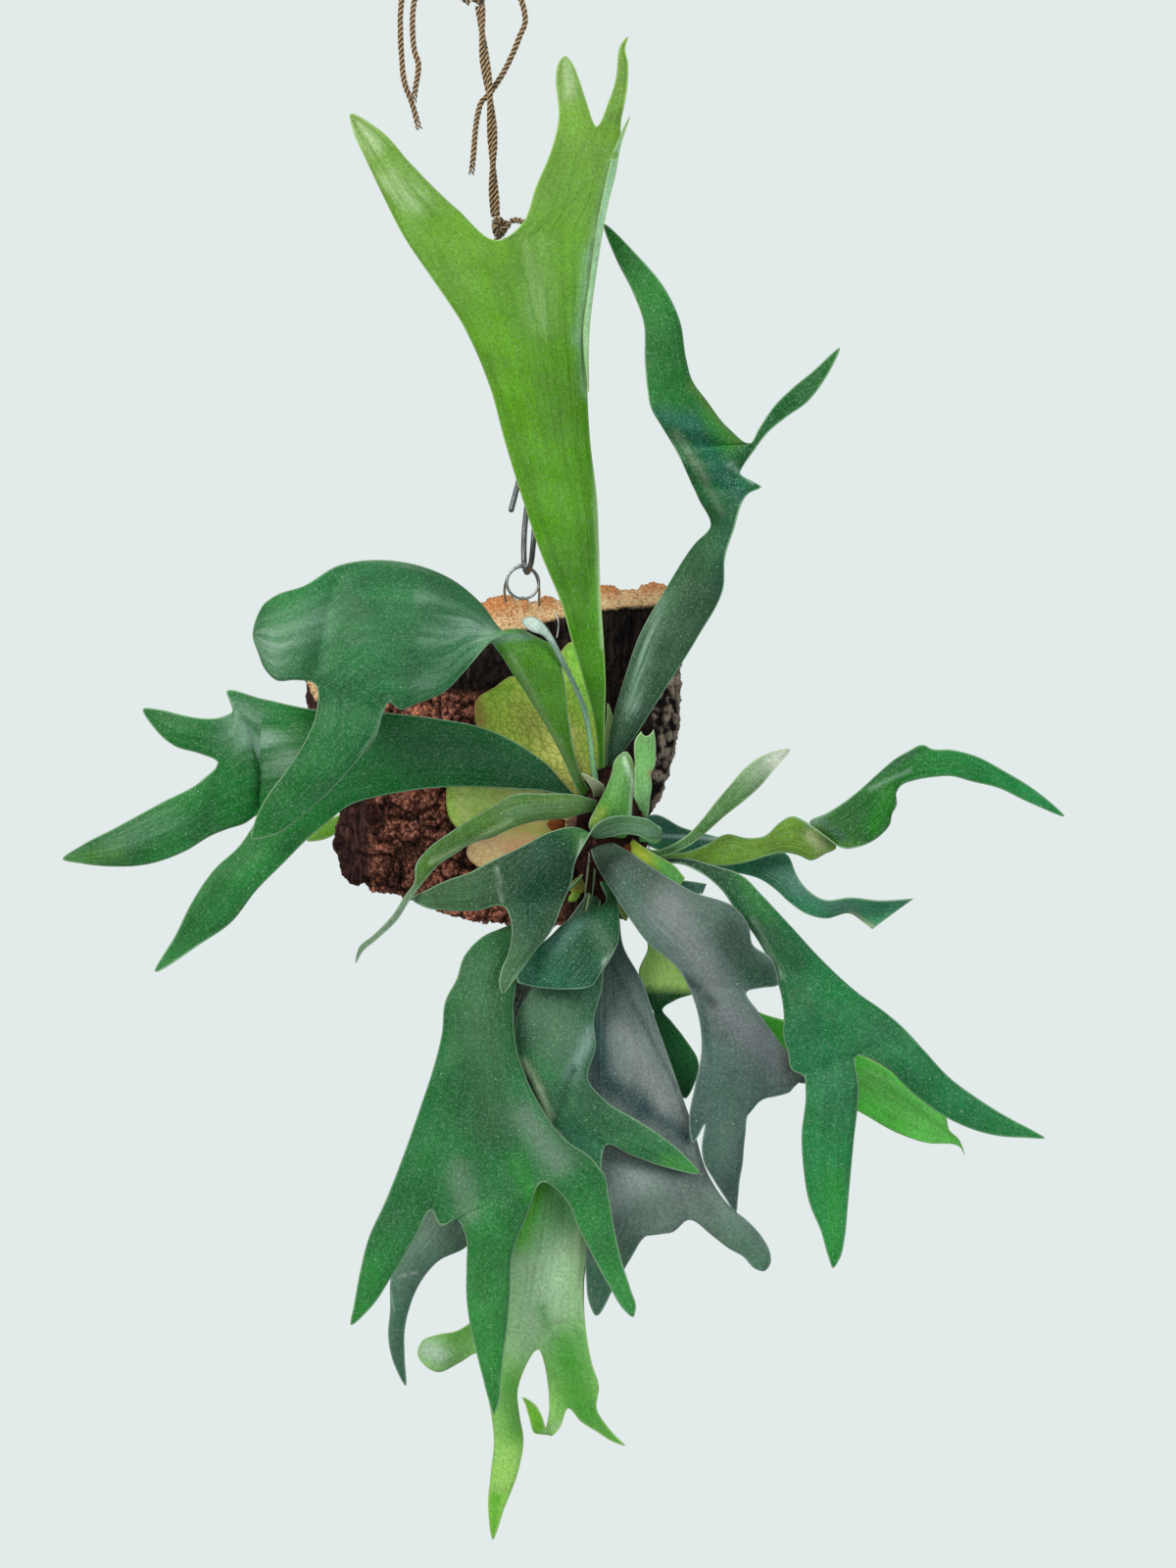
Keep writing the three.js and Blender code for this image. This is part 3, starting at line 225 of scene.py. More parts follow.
class Sheaf:
    """Points, faces and their pattern coordinates, gathered for one mesh."""

    def __init__(self):
        self.points, self.faces, self.marks, self.count = [], [], [], 0

    def add(self, points, faces, marks):
        self.faces += [tuple(i + self.count for i in face) for face in faces]
        self.points.append(points)
        self.marks.append(marks)
        self.count += len(points)

    def tube(self, centre, radii, sides, out=None):
        """A round tube along a line, marked by how far it faces out and its place along in millimetres."""
        one, two = side_directions(centre)
        if out is not None:
            one, two = out, np.cross(np.gradient(centre, axis=0), out)
            two /= length_of(two)
        angles = np.arange(sides) * 2 * math.pi / sides
        ring = np.cos(angles)[:, None] * one[:, None, :] + np.sin(angles)[:, None] * two[:, None, :]
        radii = np.broadcast_to(radii, len(centre))
        points = (centre[:, None, :] + ring * radii[:, None, None]).reshape(-1, 3)
        along = along_line(centre) / MM
        facing = 0.5 + 0.5 * np.cos(angles)
        marks = np.stack([np.tile(facing, len(centre)), np.repeat(along, sides)], 1)
        faces = ring_faces(len(centre), sides)
        faces.append(tuple(range(sides - 1, -1, -1)))
        faces.append(tuple(range((len(centre) - 1) * sides, len(centre) * sides)))
        self.add(points, faces, marks)

    def piece(self, name, material, node_names, slot):
        """One mesh piece of the object, standing for its nodes, with its pattern coordinates as a UV map."""
        mesh = bpy.data.meshes.new(name)
        mesh.from_pydata(np.vstack(self.points).tolist(), [], self.faces)
        marks = np.vstack(self.marks)
        corners = np.zeros(len(mesh.loops), dtype=np.int32)
        mesh.loops.foreach_get("vertex_index", corners)
        layer = mesh.uv_layers.new(name="pattern")
        layer.data.foreach_set("uv", marks[corners].astype(np.float32).ravel())
        return add_piece(name, mesh, material, node_names)


def add_piece(name, mesh, material, node_names):
    mesh.polygons.foreach_set("use_smooth", np.ones(len(mesh.polygons), dtype=bool))
    mesh.materials.append(material)
    piece = new_object(name, mesh)
    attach(piece, "root")
    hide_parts(*node_names)
    return piece


def lay_strand(sheaf, centre, radius, random, frayed=False):
    """A strand of three plies laid round each other, with the fibres that stand out of them."""
    one, two = side_directions(centre)
    along = along_line(centre)
    ending = np.clip((along[-1] - along) / FRAY_LENGTH, 0, 1) if frayed else np.ones(len(along))
    for ply in range(PLY_COUNT):
        angle = 2 * math.pi * (along / PLY_PITCH + ply / PLY_COUNT)
        swell = 1 + 0.06 * np.sin(along / PLY_SWELL_LENGTH + ply)
        spread = radius * PLY_SPREAD_SHARE * (1 + 0.5 * (1 - ending)) * swell
        out = np.cos(angle)[:, None] * one + np.sin(angle)[:, None] * two
        ply_radius = radius * PLY_RADIUS_SHARE * (0.45 + 0.55 * ending)
        sheaf.tube(centre + spread[:, None] * out, ply_radius, PLY_SIDES, out)
    hairs = int(along[-1] * HAIRS_PER_METRE)
    for k in range(hairs):
        i = random.integers(1, len(centre) - 1)
        angle = random.uniform(0, 2 * math.pi)
        out = math.cos(angle) * one[i] + math.sin(angle) * two[i]
        ahead = unit(centre[i + 1] - centre[i - 1])
        lean = ahead * random.uniform(-1.3, 1.3) + out
        reach = min(random.exponential(HAIR_MEAN_MM), HAIR_LONGEST_MM) * MM
        start = centre[i] + out * radius * 0.9
        middle = start + lean * reach * 0.5
        end = middle + (lean + out * random.uniform(-0.6, 0.4)) * reach * 0.4
        across = np.cross(lean, ahead + 0.01)
        wide = across * HAIR_WIDTH / np.linalg.norm(across)
        points = np.array([start - wide, start + wide, middle + wide * 0.7, middle - wide * 0.7, end])
        sheaf.add(points, [(0, 1, 2, 3), (3, 2, 4)], np.full((5, 2), k / hairs))


def knot_line(place, radii, lean):
    """A strand tied over itself: a three-lobed knot that fills the knot's own ball."""
    t = np.linspace(0, 2 * math.pi, KNOT_STEPS)
    shape = np.stack([np.sin(t) + 2 * np.sin(2 * t), -np.sin(3 * t) * 1.5, np.cos(t) - 2 * np.cos(2 * t)], 1)
    shape *= (np.array(radii) - TWINE_STRAND * 0.5) / np.abs(shape).max(axis=0)
    turned = shape.copy()
    turned[:, 0] = shape[:, 0] * math.cos(lean) + shape[:, 2] * math.sin(lean)
    turned[:, 2] = shape[:, 2] * math.cos(lean) - shape[:, 0] * math.sin(lean)
    return at(*place, TWINE_BACK) + turned


def linear(colour):
    """An sRGB hex colour as the linear one that a shader takes."""
    channels = [int(colour[i:i + 2], 16) / 255 for i in (1, 3, 5)]
    return [c / 12.92 if c <= 0.04045 else ((c + 0.055) / 1.055) ** 2.4 for c in channels] + [1]


def add_node(tree, kind, sockets=None, **settings):
    """A shader node with its own settings. A socket takes a value, an sRGB hex colour, an output of another
    node, or another node, which stands for its first output."""
    made = tree.nodes.new("ShaderNode" + kind)
    for key, value in settings.items():
        setattr(made, key, value)
    for key, value in (sockets or {}).items():
        if isinstance(value, bpy.types.Node):
            value = value.outputs[0]
        if isinstance(value, bpy.types.NodeSocket):
            tree.links.new(value, made.inputs[key])
        else:
            made.inputs[key].default_value = linear(value) if isinstance(value, str) else value
    return made


def new_material(name):
    """A material without nodes, and the function that adds one to it."""
    material = bpy.data.materials.new(name)
    material.use_nodes = True
    material.node_tree.nodes.clear()
    return material, partial(add_node, material.node_tree)


def spun_jute():
    """Spun jute fibre: dull, straw to brown, fine bright and dark fibres, painted shade between the plies."""
    material, add = new_material("spun_jute")
    spot = add("TexCoord")
    marks = add("UVMap", uv_map="pattern")
    # Fibres 0.15 mm wide run along the ply and wind slowly round it
    lengthwise = add("Mapping", {"Vector": marks, "Scale": (13, 0.55, 1), "Rotation": (0, 0, 0.02)})
    fibres = add("TexNoise", {"Vector": lengthwise, "Scale": 1.0, "Detail": 3.0, "Roughness": 0.6})
    patches = add("TexNoise", {"Vector": spot.outputs["Object"], "Scale": 1 / (9 * MM), "Detail": 3.0})
    ground = add("MixRGB", {"Fac": patches, "Color1": "#ab8960", "Color2": "#e2c49c"})
    contrast = add("MapRange", {"Value": fibres, "From Min": 0.35, "From Max": 0.68})
    spun = add("MixRGB", {"Fac": contrast, "Color1": "#7a5c3a", "Color2": ground})
    # Painted shade where a ply turns in towards its neighbours, and painted light on its crown
    facing = add("SeparateXYZ", {"Vector": marks})
    ply_shade_and_light = add("MapRange", {"Value": facing.outputs["X"], "From Min": 0.62, "From Max": 0.98,
                              "To Min": 0.1, "To Max": 1.45})
    colour = add("MixRGB", {"Fac": 1.0, "Color1": spun, "Color2": ply_shade_and_light}, blend_type="MULTIPLY")
    relief = add("Bump", {"Height": fibres, "Strength": 0.7, "Distance": 0.25 * MM})
    shader = add("BsdfPrincipled", {"Base Color": colour, "Roughness": 0.85, "Specular IOR Level": 0.25,
                                    "Sheen Weight": 0.25, "Sheen Roughness": 0.6, "Normal": relief})
    add("OutputMaterial", {"Surface": shader})
    return material


jute = spun_jute()
random = np.random.default_rng(7)


def knot_piece(name, place, radii, lean, node_names, stub=None):
    sheaf = Sheaf()
    for share, tilt in ((1, lean), (KNOT_INNER_SHARE, lean + KNOT_TURN)):
        line = knot_line(place, np.array(radii) * share, tilt)
        lay_strand(sheaf, even_steps(line, TWINE_STEP), TWINE_STRAND / 2 * KNOT_TIGHTNESS, random)
    if stub:
        lay_strand(sheaf, cord_line(stub), TWINE_STRAND / 2, random, frayed=True)
    return sheaf.piece(name, jute, node_names, "jute_twine")


knot_lower = knot_piece("lower_knot", KNOT_LOWER, KNOT_LOWER_RADII, KNOT_LEAN, ["knot_lower", "twine_stub"],
                        twine_stub)
knot_top = knot_piece("top_knot", KNOT_TOP, KNOT_TOP_RADII, 0, ["knot_top"])


def twine_piece(name, drawn, node_name, far_end, doubled=False):
    """A length of twine, single or doubled."""
    sheaf = Sheaf()
    centre = cord_line(drawn)
    if doubled:
        one, two = side_directions(centre)
        along = np.linspace(0, line_length(centre), len(centre))
        angle = (2 * math.pi * along / DOUBLING_PITCH)[:, None]
        out = np.cos(angle) * one + np.sin(angle) * two
        apart = out * (TWINE_DOUBLED - TWINE_STRAND) / 2 * DOUBLING_SLACK
        lay_strand(sheaf, centre + apart, TWINE_STRAND / 2, random)
        lay_strand(sheaf, centre - apart, TWINE_STRAND / 2, random)
    else:
        lay_strand(sheaf, centre, TWINE_STRAND / 2, random, frayed=far_end == "bare")
    piece = sheaf.piece(name, jute, [node_name], "jute_twine")
    line_length(centre)


twine_piece("doubled_twine", main_twine, "twine_main", "knot", doubled=True)
twine_piece("hook_bight", hook_twine, "twine_to_hook", "object")
twine_piece("right_tail", right_twine, "twine_right", "bare")
twine_piece("hanging_loop", loop_twine, "twine_loop", "object")
twine_piece("long_left_tail", long_tail, "twine_tail_long", "bare")
twine_piece("short_left_tail", short_tail, "twine_tail_short", "bare")

# Floor and light
# A plain pale floor far below, soft lamps to the upper left, the right and above, and a pale mint room.
FLOOR_DROP = 1.6
FLOOR_HALF_SIDE = 6.0
ROOM_COLOUR = "#e2ebea"
ROOM_STRENGTH_SEEN = 1.0
ROOM_STRENGTH_LIGHTING = 0.32


def floor_finish():
    """Matt pale paint: even and without gloss."""
    material, add = new_material("matt_pale_paint")
    shader = add("BsdfPrincipled", {"Base Color": "#e9efee", "Roughness": 0.9})
    add("OutputMaterial", {"Surface": shader})
    return material


floor_mesh = bpy.data.meshes.new("floor")
side = FLOOR_HALF_SIDE
drop = cad_box[0].z - FLOOR_DROP
floor_mesh.from_pydata([(-side, -side, drop), (side, -side, drop), (side, side, drop), (-side, side, drop)],
                       [], [(0, 1, 2, 3)])
floor_mesh.materials.append(floor_finish())
new_object("floor", floor_mesh)

# The room is seen as pale mint, and lights the fern less than it shows, so that the lamps shape it
room = bpy.data.worlds.new("room")
room.use_nodes = True
room.node_tree.nodes.clear()
add = partial(add_node, room.node_tree)
shown = add("Background", {"Color": ROOM_COLOUR, "Strength": ROOM_STRENGTH_SEEN})
lit = add("Background", {"Color": ROOM_COLOUR, "Strength": ROOM_STRENGTH_LIGHTING})
ray = add("LightPath")
air = add("MixShader", {"Fac": ray.outputs["Is Camera Ray"], 1: lit, 2: shown})
add("OutputWorld", {"Surface": air})
bpy.context.scene.world = room
bpy.context.scene.view_settings.view_transform = "Standard"


def lamp(name, place, size, power, colour):
    """A round lamp that looks at the middle of the fern: its size in metres and its power in watts."""
    light = bpy.data.lights.new(name, "AREA")
    light.shape = "DISK"
    light.size = size
    light.energy = power
    light.color = linear(colour)[:3]
    holder = new_object(name, light)
    holder.location = place
    holder.rotation_euler = (middle - Vector(place)).to_track_quat("-Z", "Y").to_euler()


middle = (cad_box[0] + cad_box[1]) / 2
lamp("key", place=(-1.1, -1.5, 0.75), size=1.3, power=35, colour="#fffaf2")
lamp("fill", place=(0.9, -1.7, -0.1), size=1.4, power=14, colour="#f2fbff")
lamp("top", place=(0.2, 0.5, 1.1), size=0.9, power=9, colour="#ffffff")

# Hook, ring, staple and line
# A hook bent from drawn steel wire, a light wire ring on its lower bend, and a loop of thin wire driven into
# the bark's top like a staple. The line beside them is clear nylon, tucked into the bark.
HOOK_WIRE = 2.6 * MM
RING_WIRE = 1.3 * MM
RING_RADIUS = 7.4 * MM
RING_CENTRE = (533.5, 594.6, -8)
RING_JOINT = 0.02
RING_STEPS = 240
STAPLE_WIRE = 1.2 * MM
TIE_WIRE = 0.6 * MM
WIRE_STEP = 0.3 * MM
TIE_STEP = 0.2 * MM
WIRE_SIDES = 20
CUT_END = 0.01

hook_line = [[546, 532, 3], [544, 556, 3], [542, 574, 0], [538, 584, -8], [535, 575, -17],
             [535, 545, -19], [538, 515, -19], [541, 492, -19], [541, 479, -23], [537, 474, -29],
             [532, 482, -35], [527, 500, -36], [521, 523, -36]]
staple_line = [[516.5, 626, -22], [516, 614, -20], [515, 600, -16], [520.5, 585, -12.5], [533, 576, -11.5],
               [545.5, 585, -12.5], [550, 600, -16], [550, 614, -20], [550, 626, -22]]
tie_line = [[566, 623, -9.8], [567.5, 628, -4.3], [569.5, 633, -0.5], [569.8, 640, -1.2],
            [569, 646, -1.5], [568, 651, -1.5]]


def drawn_steel(name, colour, roughness):
    """Drawn steel wire under thin zinc: grey, with fine die lines along it and dull specks."""
    material, add = new_material(name)
    spot = add("TexCoord").outputs["Object"]
    marks = add("UVMap", uv_map="pattern")
    # Real die lines lie closer than 0.05 mm: these lie 0.1 to 0.2 mm apart, so that they show
    lengthwise = add("Mapping", {"Vector": marks, "Scale": (22, 0.1, 1)})
    lines = add("TexNoise", {"Vector": lengthwise, "Scale": 1.0, "Detail": 2.0})
    specks = add("TexNoise", {"Vector": spot, "Scale": 1 / (1.5 * MM), "Detail": 4.0})
    stain = add("MapRange", {"Value": specks, "From Min": 0.45, "From Max": 0.7, "To Max": 0.5})
    tint = add("MixRGB", {"Fac": stain, "Color1": colour, "Color2": "#4a4846"})
    dull = add("MapRange", {"Value": specks, "To Min": roughness - 0.1, "To Max": roughness + 0.2})
    relief = add("Bump", {"Height": lines, "Strength": 0.3, "Distance": 0.05 * MM})
    shader = add("BsdfPrincipled", {"Base Color": tint, "Metallic": 1.0, "Roughness": dull,
                                    "Normal": relief})
    add("OutputMaterial", {"Surface": shader})
    return material


def clear_nylon():
    """Drawn clear nylon line: faintly milky, with a soft bright streak along it."""
    material, add = new_material("clear_nylon")
    spot = add("TexCoord").outputs["Object"]
    cloud = add("TexNoise", {"Vector": spot, "Scale": 1 / (2 * MM)})
    tint = add("MixRGB", {"Fac": cloud, "Color1": "#dfe8e4", "Color2": "#f4f8f6"})
    shader = add("BsdfPrincipled", {"Base Color": tint, "Roughness": 0.22, "Transmission Weight": 0.35,
                                    "IOR": 1.53})
    add("OutputMaterial", {"Surface": shader})
    return material


def wire_piece(name, centre, diameter, material, node_name, slot):
    """A wire with rounded cut ends."""
    sheaf = Sheaf()
    along = np.linspace(0, line_length(centre), len(centre))
    from_end = np.minimum(np.minimum(along, along[-1] - along) / (diameter / 2), 1)
    round_end = np.sqrt(np.maximum(1 - (1 - from_end) ** 2, CUT_END))
    sheaf.tube(centre, diameter / 2 * round_end, WIRE_SIDES)
    sheaf.piece(name, material, [node_name], slot)


zinc_dark = drawn_steel("dull_zinc_wire", "#777c7e", 0.38)
zinc_light = drawn_steel("bright_zinc_wire", "#9da3a4", 0.32)
ring_angles = np.linspace(RING_JOINT, 2 * math.pi - RING_JOINT, RING_STEPS) + math.pi / 2
ring_line = at(*RING_CENTRE) + RING_RADIUS * np.stack(
    [np.cos(ring_angles), np.zeros(len(ring_angles)), np.sin(ring_angles)], axis=1)
wire_piece("hook", cord_line(hook_line, WIRE_STEP), HOOK_WIRE, zinc_dark, "s_hook", "steel_wire")
wire_piece("hook_ring", ring_line, RING_WIRE, zinc_light, "ring", "steel_wire")
wire_piece("bark_staple", cord_line(staple_line, WIRE_STEP), STAPLE_WIRE, zinc_light, "staple", "steel_wire")
wire_piece("nylon_tie", cord_line(tie_line, TIE_STEP), TIE_WIRE, clear_nylon(), "wire_tie", "nylon_line")

# Fronds: the making of a blade
# A staghorn's frond is one leathery blade about a millimetre thick, thin at its margin and fleshy at its
# stalk, with veins that run along it and fork with it, and a scurf of white star-shaped hairs.
BLADE_STEP = 1.9 * MM
MARGIN_STEP = 0.3 * MM
MARGIN_THICKNESS = 0.4 * MM
BLADE_THICKNESS = 1.15 * MM
MARGIN_TAPER = 2.5 * MM
STALK_THICKNESS = 1.6 * MM
STALK_LENGTH = 30 * MM
RIPPLE_START = 35 * MM
RIPPLE_LENGTHS = (46 * MM, 31 * MM, 19 * MM)
RIPPLE_MEAN_LENGTH = 30 * MM
MERGING = 1e-6


def row_points(row):
    """The two edges and the middle of a row across the blade.

    A row gives its first edge (x, y), its second edge (x, y), how far forward its middle lies, by how much
    the second edge is ahead of the first, how far the middle bows forward of the edges, and, where the row
    is folded, the (x, y) of its middle.
    """
    ax, ay, bx, by, forward, turn, bow = (list(row[:7]) + [0, 0])[:7]
    mx, my = row[7:] or ((ax + bx) / 2, (ay + by) / 2)
    return np.array([at(ax, ay, forward - turn / 2), at(mx, my, forward + bow),
                     at(bx, by, forward + turn / 2)])


def lobe_count(part):
    return sum(lobe_count(lobe) for lobe in part["lobes"]) if "lobes" in part else 1


def across_rows(rows, v):
    """Points across each row, on the curve through its two edges and its middle."""
    weights = np.stack([(1 - v) * (1 - 2 * v), 4 * v * (1 - v), v * (2 * v - 1)])
    return np.einsum("rkx,kc->rcx", rows, weights)


def ease(s):
    return s * s * (3 - 2 * s)


def lay_blade(part, fine, sheets, start=None, before=(None, None, None), along=0.0, reach=(0.0, 1.0)):
    """Lays a grid of points over a blade, and one over each lobe after a fork.

    The last row before a fork runs through the notch, and each lobe goes on from its own side of it. The
    notch gives its share of the blade's width and its (x, y) and how far forward it lies.
    """
    rows = [row_points(row) for row in part["rows"]]
    if start is not None:
        rows.insert(0, start[[0, len(start) // 2, -1]])
    if "tip" in part:
        rows.append(np.array([at(*part["tip"])] * 3))
    columns = lobe_count(part) * fine
    share = 1.0
    split = columns
    if "lobes" in part:
        share = part["notch"][0]
        split = lobe_count(part["lobes"][0]) * fine
    place = np.interp(np.arange(columns + 1), [0, split, columns], [0, share, 1])

    last = len(rows) - 1
    after = [None] * 3
    end_row = None
    if "lobes" in part:
        one, two = part["lobes"]
        one_start, two_start = row_points(one["rows"][0]), row_points(two["rows"][0])
        edge, notch, other_edge = rows[last][0], at(*part["notch"][1:]), rows[last][2]

        def tent(v):
            return np.stack([np.interp(v, [0, share, 1], [edge[k], notch[k], other_edge[k]])
                             for k in range(3)], axis=-1)

        rows[last] = np.array([edge, tent(0.5), other_edge])
        end_row = tent(place)
        after = [one_start[0], None, two_start[2]]
    elif "tip" in part and last > 0:
        after = [rows[last - 1][2], None, rows[last - 1][0]]

    stops = [0.0]
    for i in range(last):
        length = max(length_of(rows[i + 1][k] - rows[i][k])[0] for k in (0, 2))
        steps = max(3, round(length / BLADE_STEP))
        stops += [i + k / steps for k in range(1, steps + 1)]
    stops = np.array(stops)
    edges = []
    for k in range(3):
        points = np.array([row[k] for row in rows])
        line = smooth_line(points, points[0] if before[k] is None else before[k],
                           points[-1] if after[k] is None else after[k])
        edges.append(line(stops))
    grid = across_rows(np.stack(edges, axis=1), place)
    if start is not None:
        fade = 1 - ease(np.minimum(stops, 1))
        grid += fade[:, None, None] * (start - across_rows(rows[0][None], place)[0])
        grid[0] = start
    if end_row is not None:
        fade = ease(np.maximum(stops - last + 1, 0))
        grid += fade[:, None, None] * (end_row - across_rows(rows[last][None], place)[0])
        grid[-1] = end_row
    if "tip" in part:
        grid[-1] = rows[-1][0]

    middle_line = grid[:, columns // 2]
    grown = along + along_line(middle_line)
    spread = reach[0] + (reach[1] - reach[0]) * place
    sheets.append((grid, np.stack(np.broadcast_arrays(spread[None, :], grown[:, None] / MM), axis=-1)))
    if "lobes" in part:
        fork = reach[0] + (reach[1] - reach[0]) * share
        lay_blade(one, fine, sheets, grid[-1][:split + 1], [rows[last - 1][0], None, two_start[0]],
                  grown[-1], (reach[0], fork))
        lay_blade(two, fine, sheets, grid[-1][split:], [one_start[2], None, rows[last - 1][2]],
                  grown[-1], (fork, reach[1]))


def join_sheets(sheets):
    """The grids of a blade as one net of points and triangles, with each corner's place in the pattern."""
    points = np.vstack([grid.reshape(-1, 3) for grid, _ in sheets])
    marks = np.vstack([mark.reshape(-1, 2) for _, mark in sheets])
    corners = []
    count = 0
    for grid, _ in sheets:
        height, width = grid.shape[:2]
        index = count + np.arange(height * width).reshape(height, width)
        a, b, c, d = index[:-1, :-1], index[:-1, 1:], index[1:, 1:], index[1:, :-1]
        corners.append(np.stack([a, b, c], axis=-1).reshape(-1, 3))
        corners.append(np.stack([a, c, d], axis=-1).reshape(-1, 3))
        count += height * width
    corners = np.vstack(corners)
    _, first, known = np.unique(np.round(points / MERGING).astype(np.int64), axis=0, return_index=True,
                                return_inverse=True)
    known = known.reshape(-1)
    faces = known[corners]
    whole = (faces[:, 0] != faces[:, 1]) & (faces[:, 1] != faces[:, 2]) & (faces[:, 2] != faces[:, 0])
    return points[first], faces[whole], marks[corners[whole]], marks[first]


def margin_edges(faces):
    """The edges that only one triangle has, each in that triangle's direction."""
    edges = np.vstack([faces[:, [0, 1]], faces[:, [1, 2]], faces[:, [2, 0]]])
    known = {tuple(edge) for edge in edges.tolist()}
    return np.array([edge for edge in edges.tolist() if (edge[1], edge[0]) not in known])


def margin_distance(points, edges):
    spots = []
    for i, j in edges:
        steps = max(1, int(np.linalg.norm(points[j] - points[i]) / MARGIN_STEP))
        spots += [points[i] + (points[j] - points[i]) * k / steps for k in range(steps)]
    tree = kdtree.KDTree(len(spots))
    for k, spot in enumerate(spots):
        tree.insert(spot, k)
    tree.balance()
    return np.array([tree.find(point)[2] for point in points])


def point_normals(points, faces):
    corners = points[faces]
    slant = np.cross(corners[:, 1] - corners[:, 0], corners[:, 2] - corners[:, 0])
    normals = np.zeros_like(points)
    for k in range(3):
        np.add.at(normals, faces[:, k], slant)
    facing = float(np.sum(slant * (EYE - corners.mean(axis=1))))
    return normals / np.maximum(length_of(normals), 1e-20), facing


def ripple(points, along, reach, seed):
    """How far each point of a blade stands forward of its drawn place: the slow waves of a grown leaf."""
    waves = np.random.default_rng(seed)
    rise = np.zeros(len(points))
    for size in RIPPLE_LENGTHS:
        direction = unit(waves.normal(size=3))
        rise += size * np.sin(points @ direction * 2 * math.pi / size + waves.uniform(0, 2 * math.pi))
    start = np.clip(along * MM / RIPPLE_START, 0, 1)
    return reach * rise / RIPPLE_MEAN_LENGTH * start ** 2


def drawn_places(points):
    """Where each point is seen in the drawing."""
    scale = EYE_DISTANCE / (points[:, 1] - EYE[1]) / DRAWING_STEP
    x = (points[:, 0] - EYE[0]) * scale + EYE_LINE[0]
    y = EYE_LINE[1] - (points[:, 2] - EYE[2]) * scale
    return np.stack([x, y], axis=1)


def near_stroke(drawn, x1, y1, x2, y2, breadth):
    """How near each place is to a stroke from one place to another: 1 on it, fading over its breadth."""
    start = np.array([x1, y1])
    run = np.array([x2 - x1, y2 - y1])
    share = np.clip((drawn - start) @ run / max(run @ run, 1), 0, 1)
    away = length_of(drawn - start - share[:, None] * run)[:, 0]
    return np.exp(-(away / breadth) ** 2)


def stroke_sum(drawn, strokes):
    return sum((near_stroke(drawn, *place) * strength for *place, strength in strokes), np.zeros(len(drawn)))


def stain_and_painted_light_colours(drawn, stains_and_painted_light):
    """Strokes of colour laid over each other, as red, green, blue and how much they cover: real stains, and
    painted shade, shadows, sheen and highlights.
    """
    colours = np.zeros((len(drawn), 4))
    for *place, strength, colour in stains_and_painted_light:
        part = (near_stroke(drawn, *place) * strength)[:, None]
        cover = 1 - (1 - colours[:, 3:]) * (1 - part)
        blend = part / np.maximum(cover, 1e-6)
        colours[:, :3] = colours[:, :3] * (1 - blend) + np.array(linear(colour)[:3]) * blend
        colours[:, 3:] = cover
    return colours


def mark_points(mesh, **marks):
    """Keeps a number at each point of a mesh, for its material to read."""
    for key, values in marks.items():
        attribute = mesh.attributes.new(key, "FLOAT", "POINT")
        attribute.data.foreach_set("value", values.astype(np.float32))


def blade_piece(name, part, material, fine=18, wave=0.5 * MM, thin=1.0, node=None):
    """A frond as one closed mesh: two faces and a rounded rim, thinner towards its margin.

    Strokes on the drawing raise folds on it in millimetres, lay grey bloom on it, partly as a painted sheen,
    paint shade on it, or painted light where the strength is below zero, and stain it with real stains and
    painted shade, shadows, sheen and highlights: each gives (x, y) to (x, y), its breadth, its strength and,
    for a stain, its colour.
    """
    sheets = []
    lay_blade(part, fine, sheets)
    points, faces, corner_marks, marks = join_sheets(sheets)
    edges = margin_edges(faces)
    margin = margin_distance(points, edges)
    along = marks[:, 1]
    drawn = drawn_places(points)
    rise = ripple(points, along, wave, len(name)) + stroke_sum(drawn, part.get("folds", ())) * MM
    sight = points - EYE
    points = EYE + sight * (1 - rise[:, None] / length_of(sight))
    normals, facing = point_normals(points, faces)
    half = (MARGIN_THICKNESS + (BLADE_THICKNESS - MARGIN_THICKNESS) * (1 - np.exp(-margin / MARGIN_TAPER)))
    half = thin * half / 2 + STALK_THICKNESS / 2 * np.exp(-along * MM / STALK_LENGTH) * (
        1 - np.exp(-margin / MARGIN_TAPER))
    count = len(points)
    both = np.vstack([points + normals * half[:, None], points - normals * half[:, None]])
    i, j = edges[:, 0], edges[:, 1]
    rim = np.vstack([np.stack([i, i + count, j + count], axis=1), np.stack([i, j + count, j], axis=1)])
    triangles = np.vstack([faces, faces[:, ::-1] + count, rim])

    mesh = bpy.data.meshes.new(name)
    mesh.vertices.add(len(both))
    mesh.vertices.foreach_set("co", both.astype(np.float32).ravel())
    mesh.loops.add(triangles.size)
    mesh.loops.foreach_set("vertex_index", triangles.astype(np.int32).ravel())
    mesh.polygons.add(len(triangles))
    mesh.polygons.foreach_set("loop_start", np.arange(0, triangles.size, 3, dtype=np.int32))
    mesh.update(calc_edges=True)
    layer = mesh.uv_layers.new(name="pattern")
    corners = np.vstack([corner_marks.reshape(-1, 2), corner_marks[:, ::-1].reshape(-1, 2),
                         marks[rim % count].reshape(-1, 2)])
    layer.data.foreach_set("uv", corners.astype(np.float32).ravel())
    side = np.repeat([0.0, 1.0] if facing > 0 else [1.0, 0.0], count)
    mark_points(mesh, margin=np.tile(margin / MM, 2), grown=np.tile(along / along.max(), 2), under=side,
                bloom=np.tile(stroke_sum(drawn, part.get("bloom", ())), 2),
                shade=np.tile(stroke_sum(drawn, part.get("shade", ())), 2))
    with_stains_and_painted_light = mesh.attributes.new("stain", "FLOAT_COLOR", "POINT")
    colours = np.tile(stain_and_painted_light_colours(drawn, part.get("stains_and_painted_light", ())), (2, 1))
    with_stains_and_painted_light.data.foreach_set("color", colours.astype(np.float32).ravel())
    mesh.validate()
    return add_piece(name, mesh, material, [node or name])


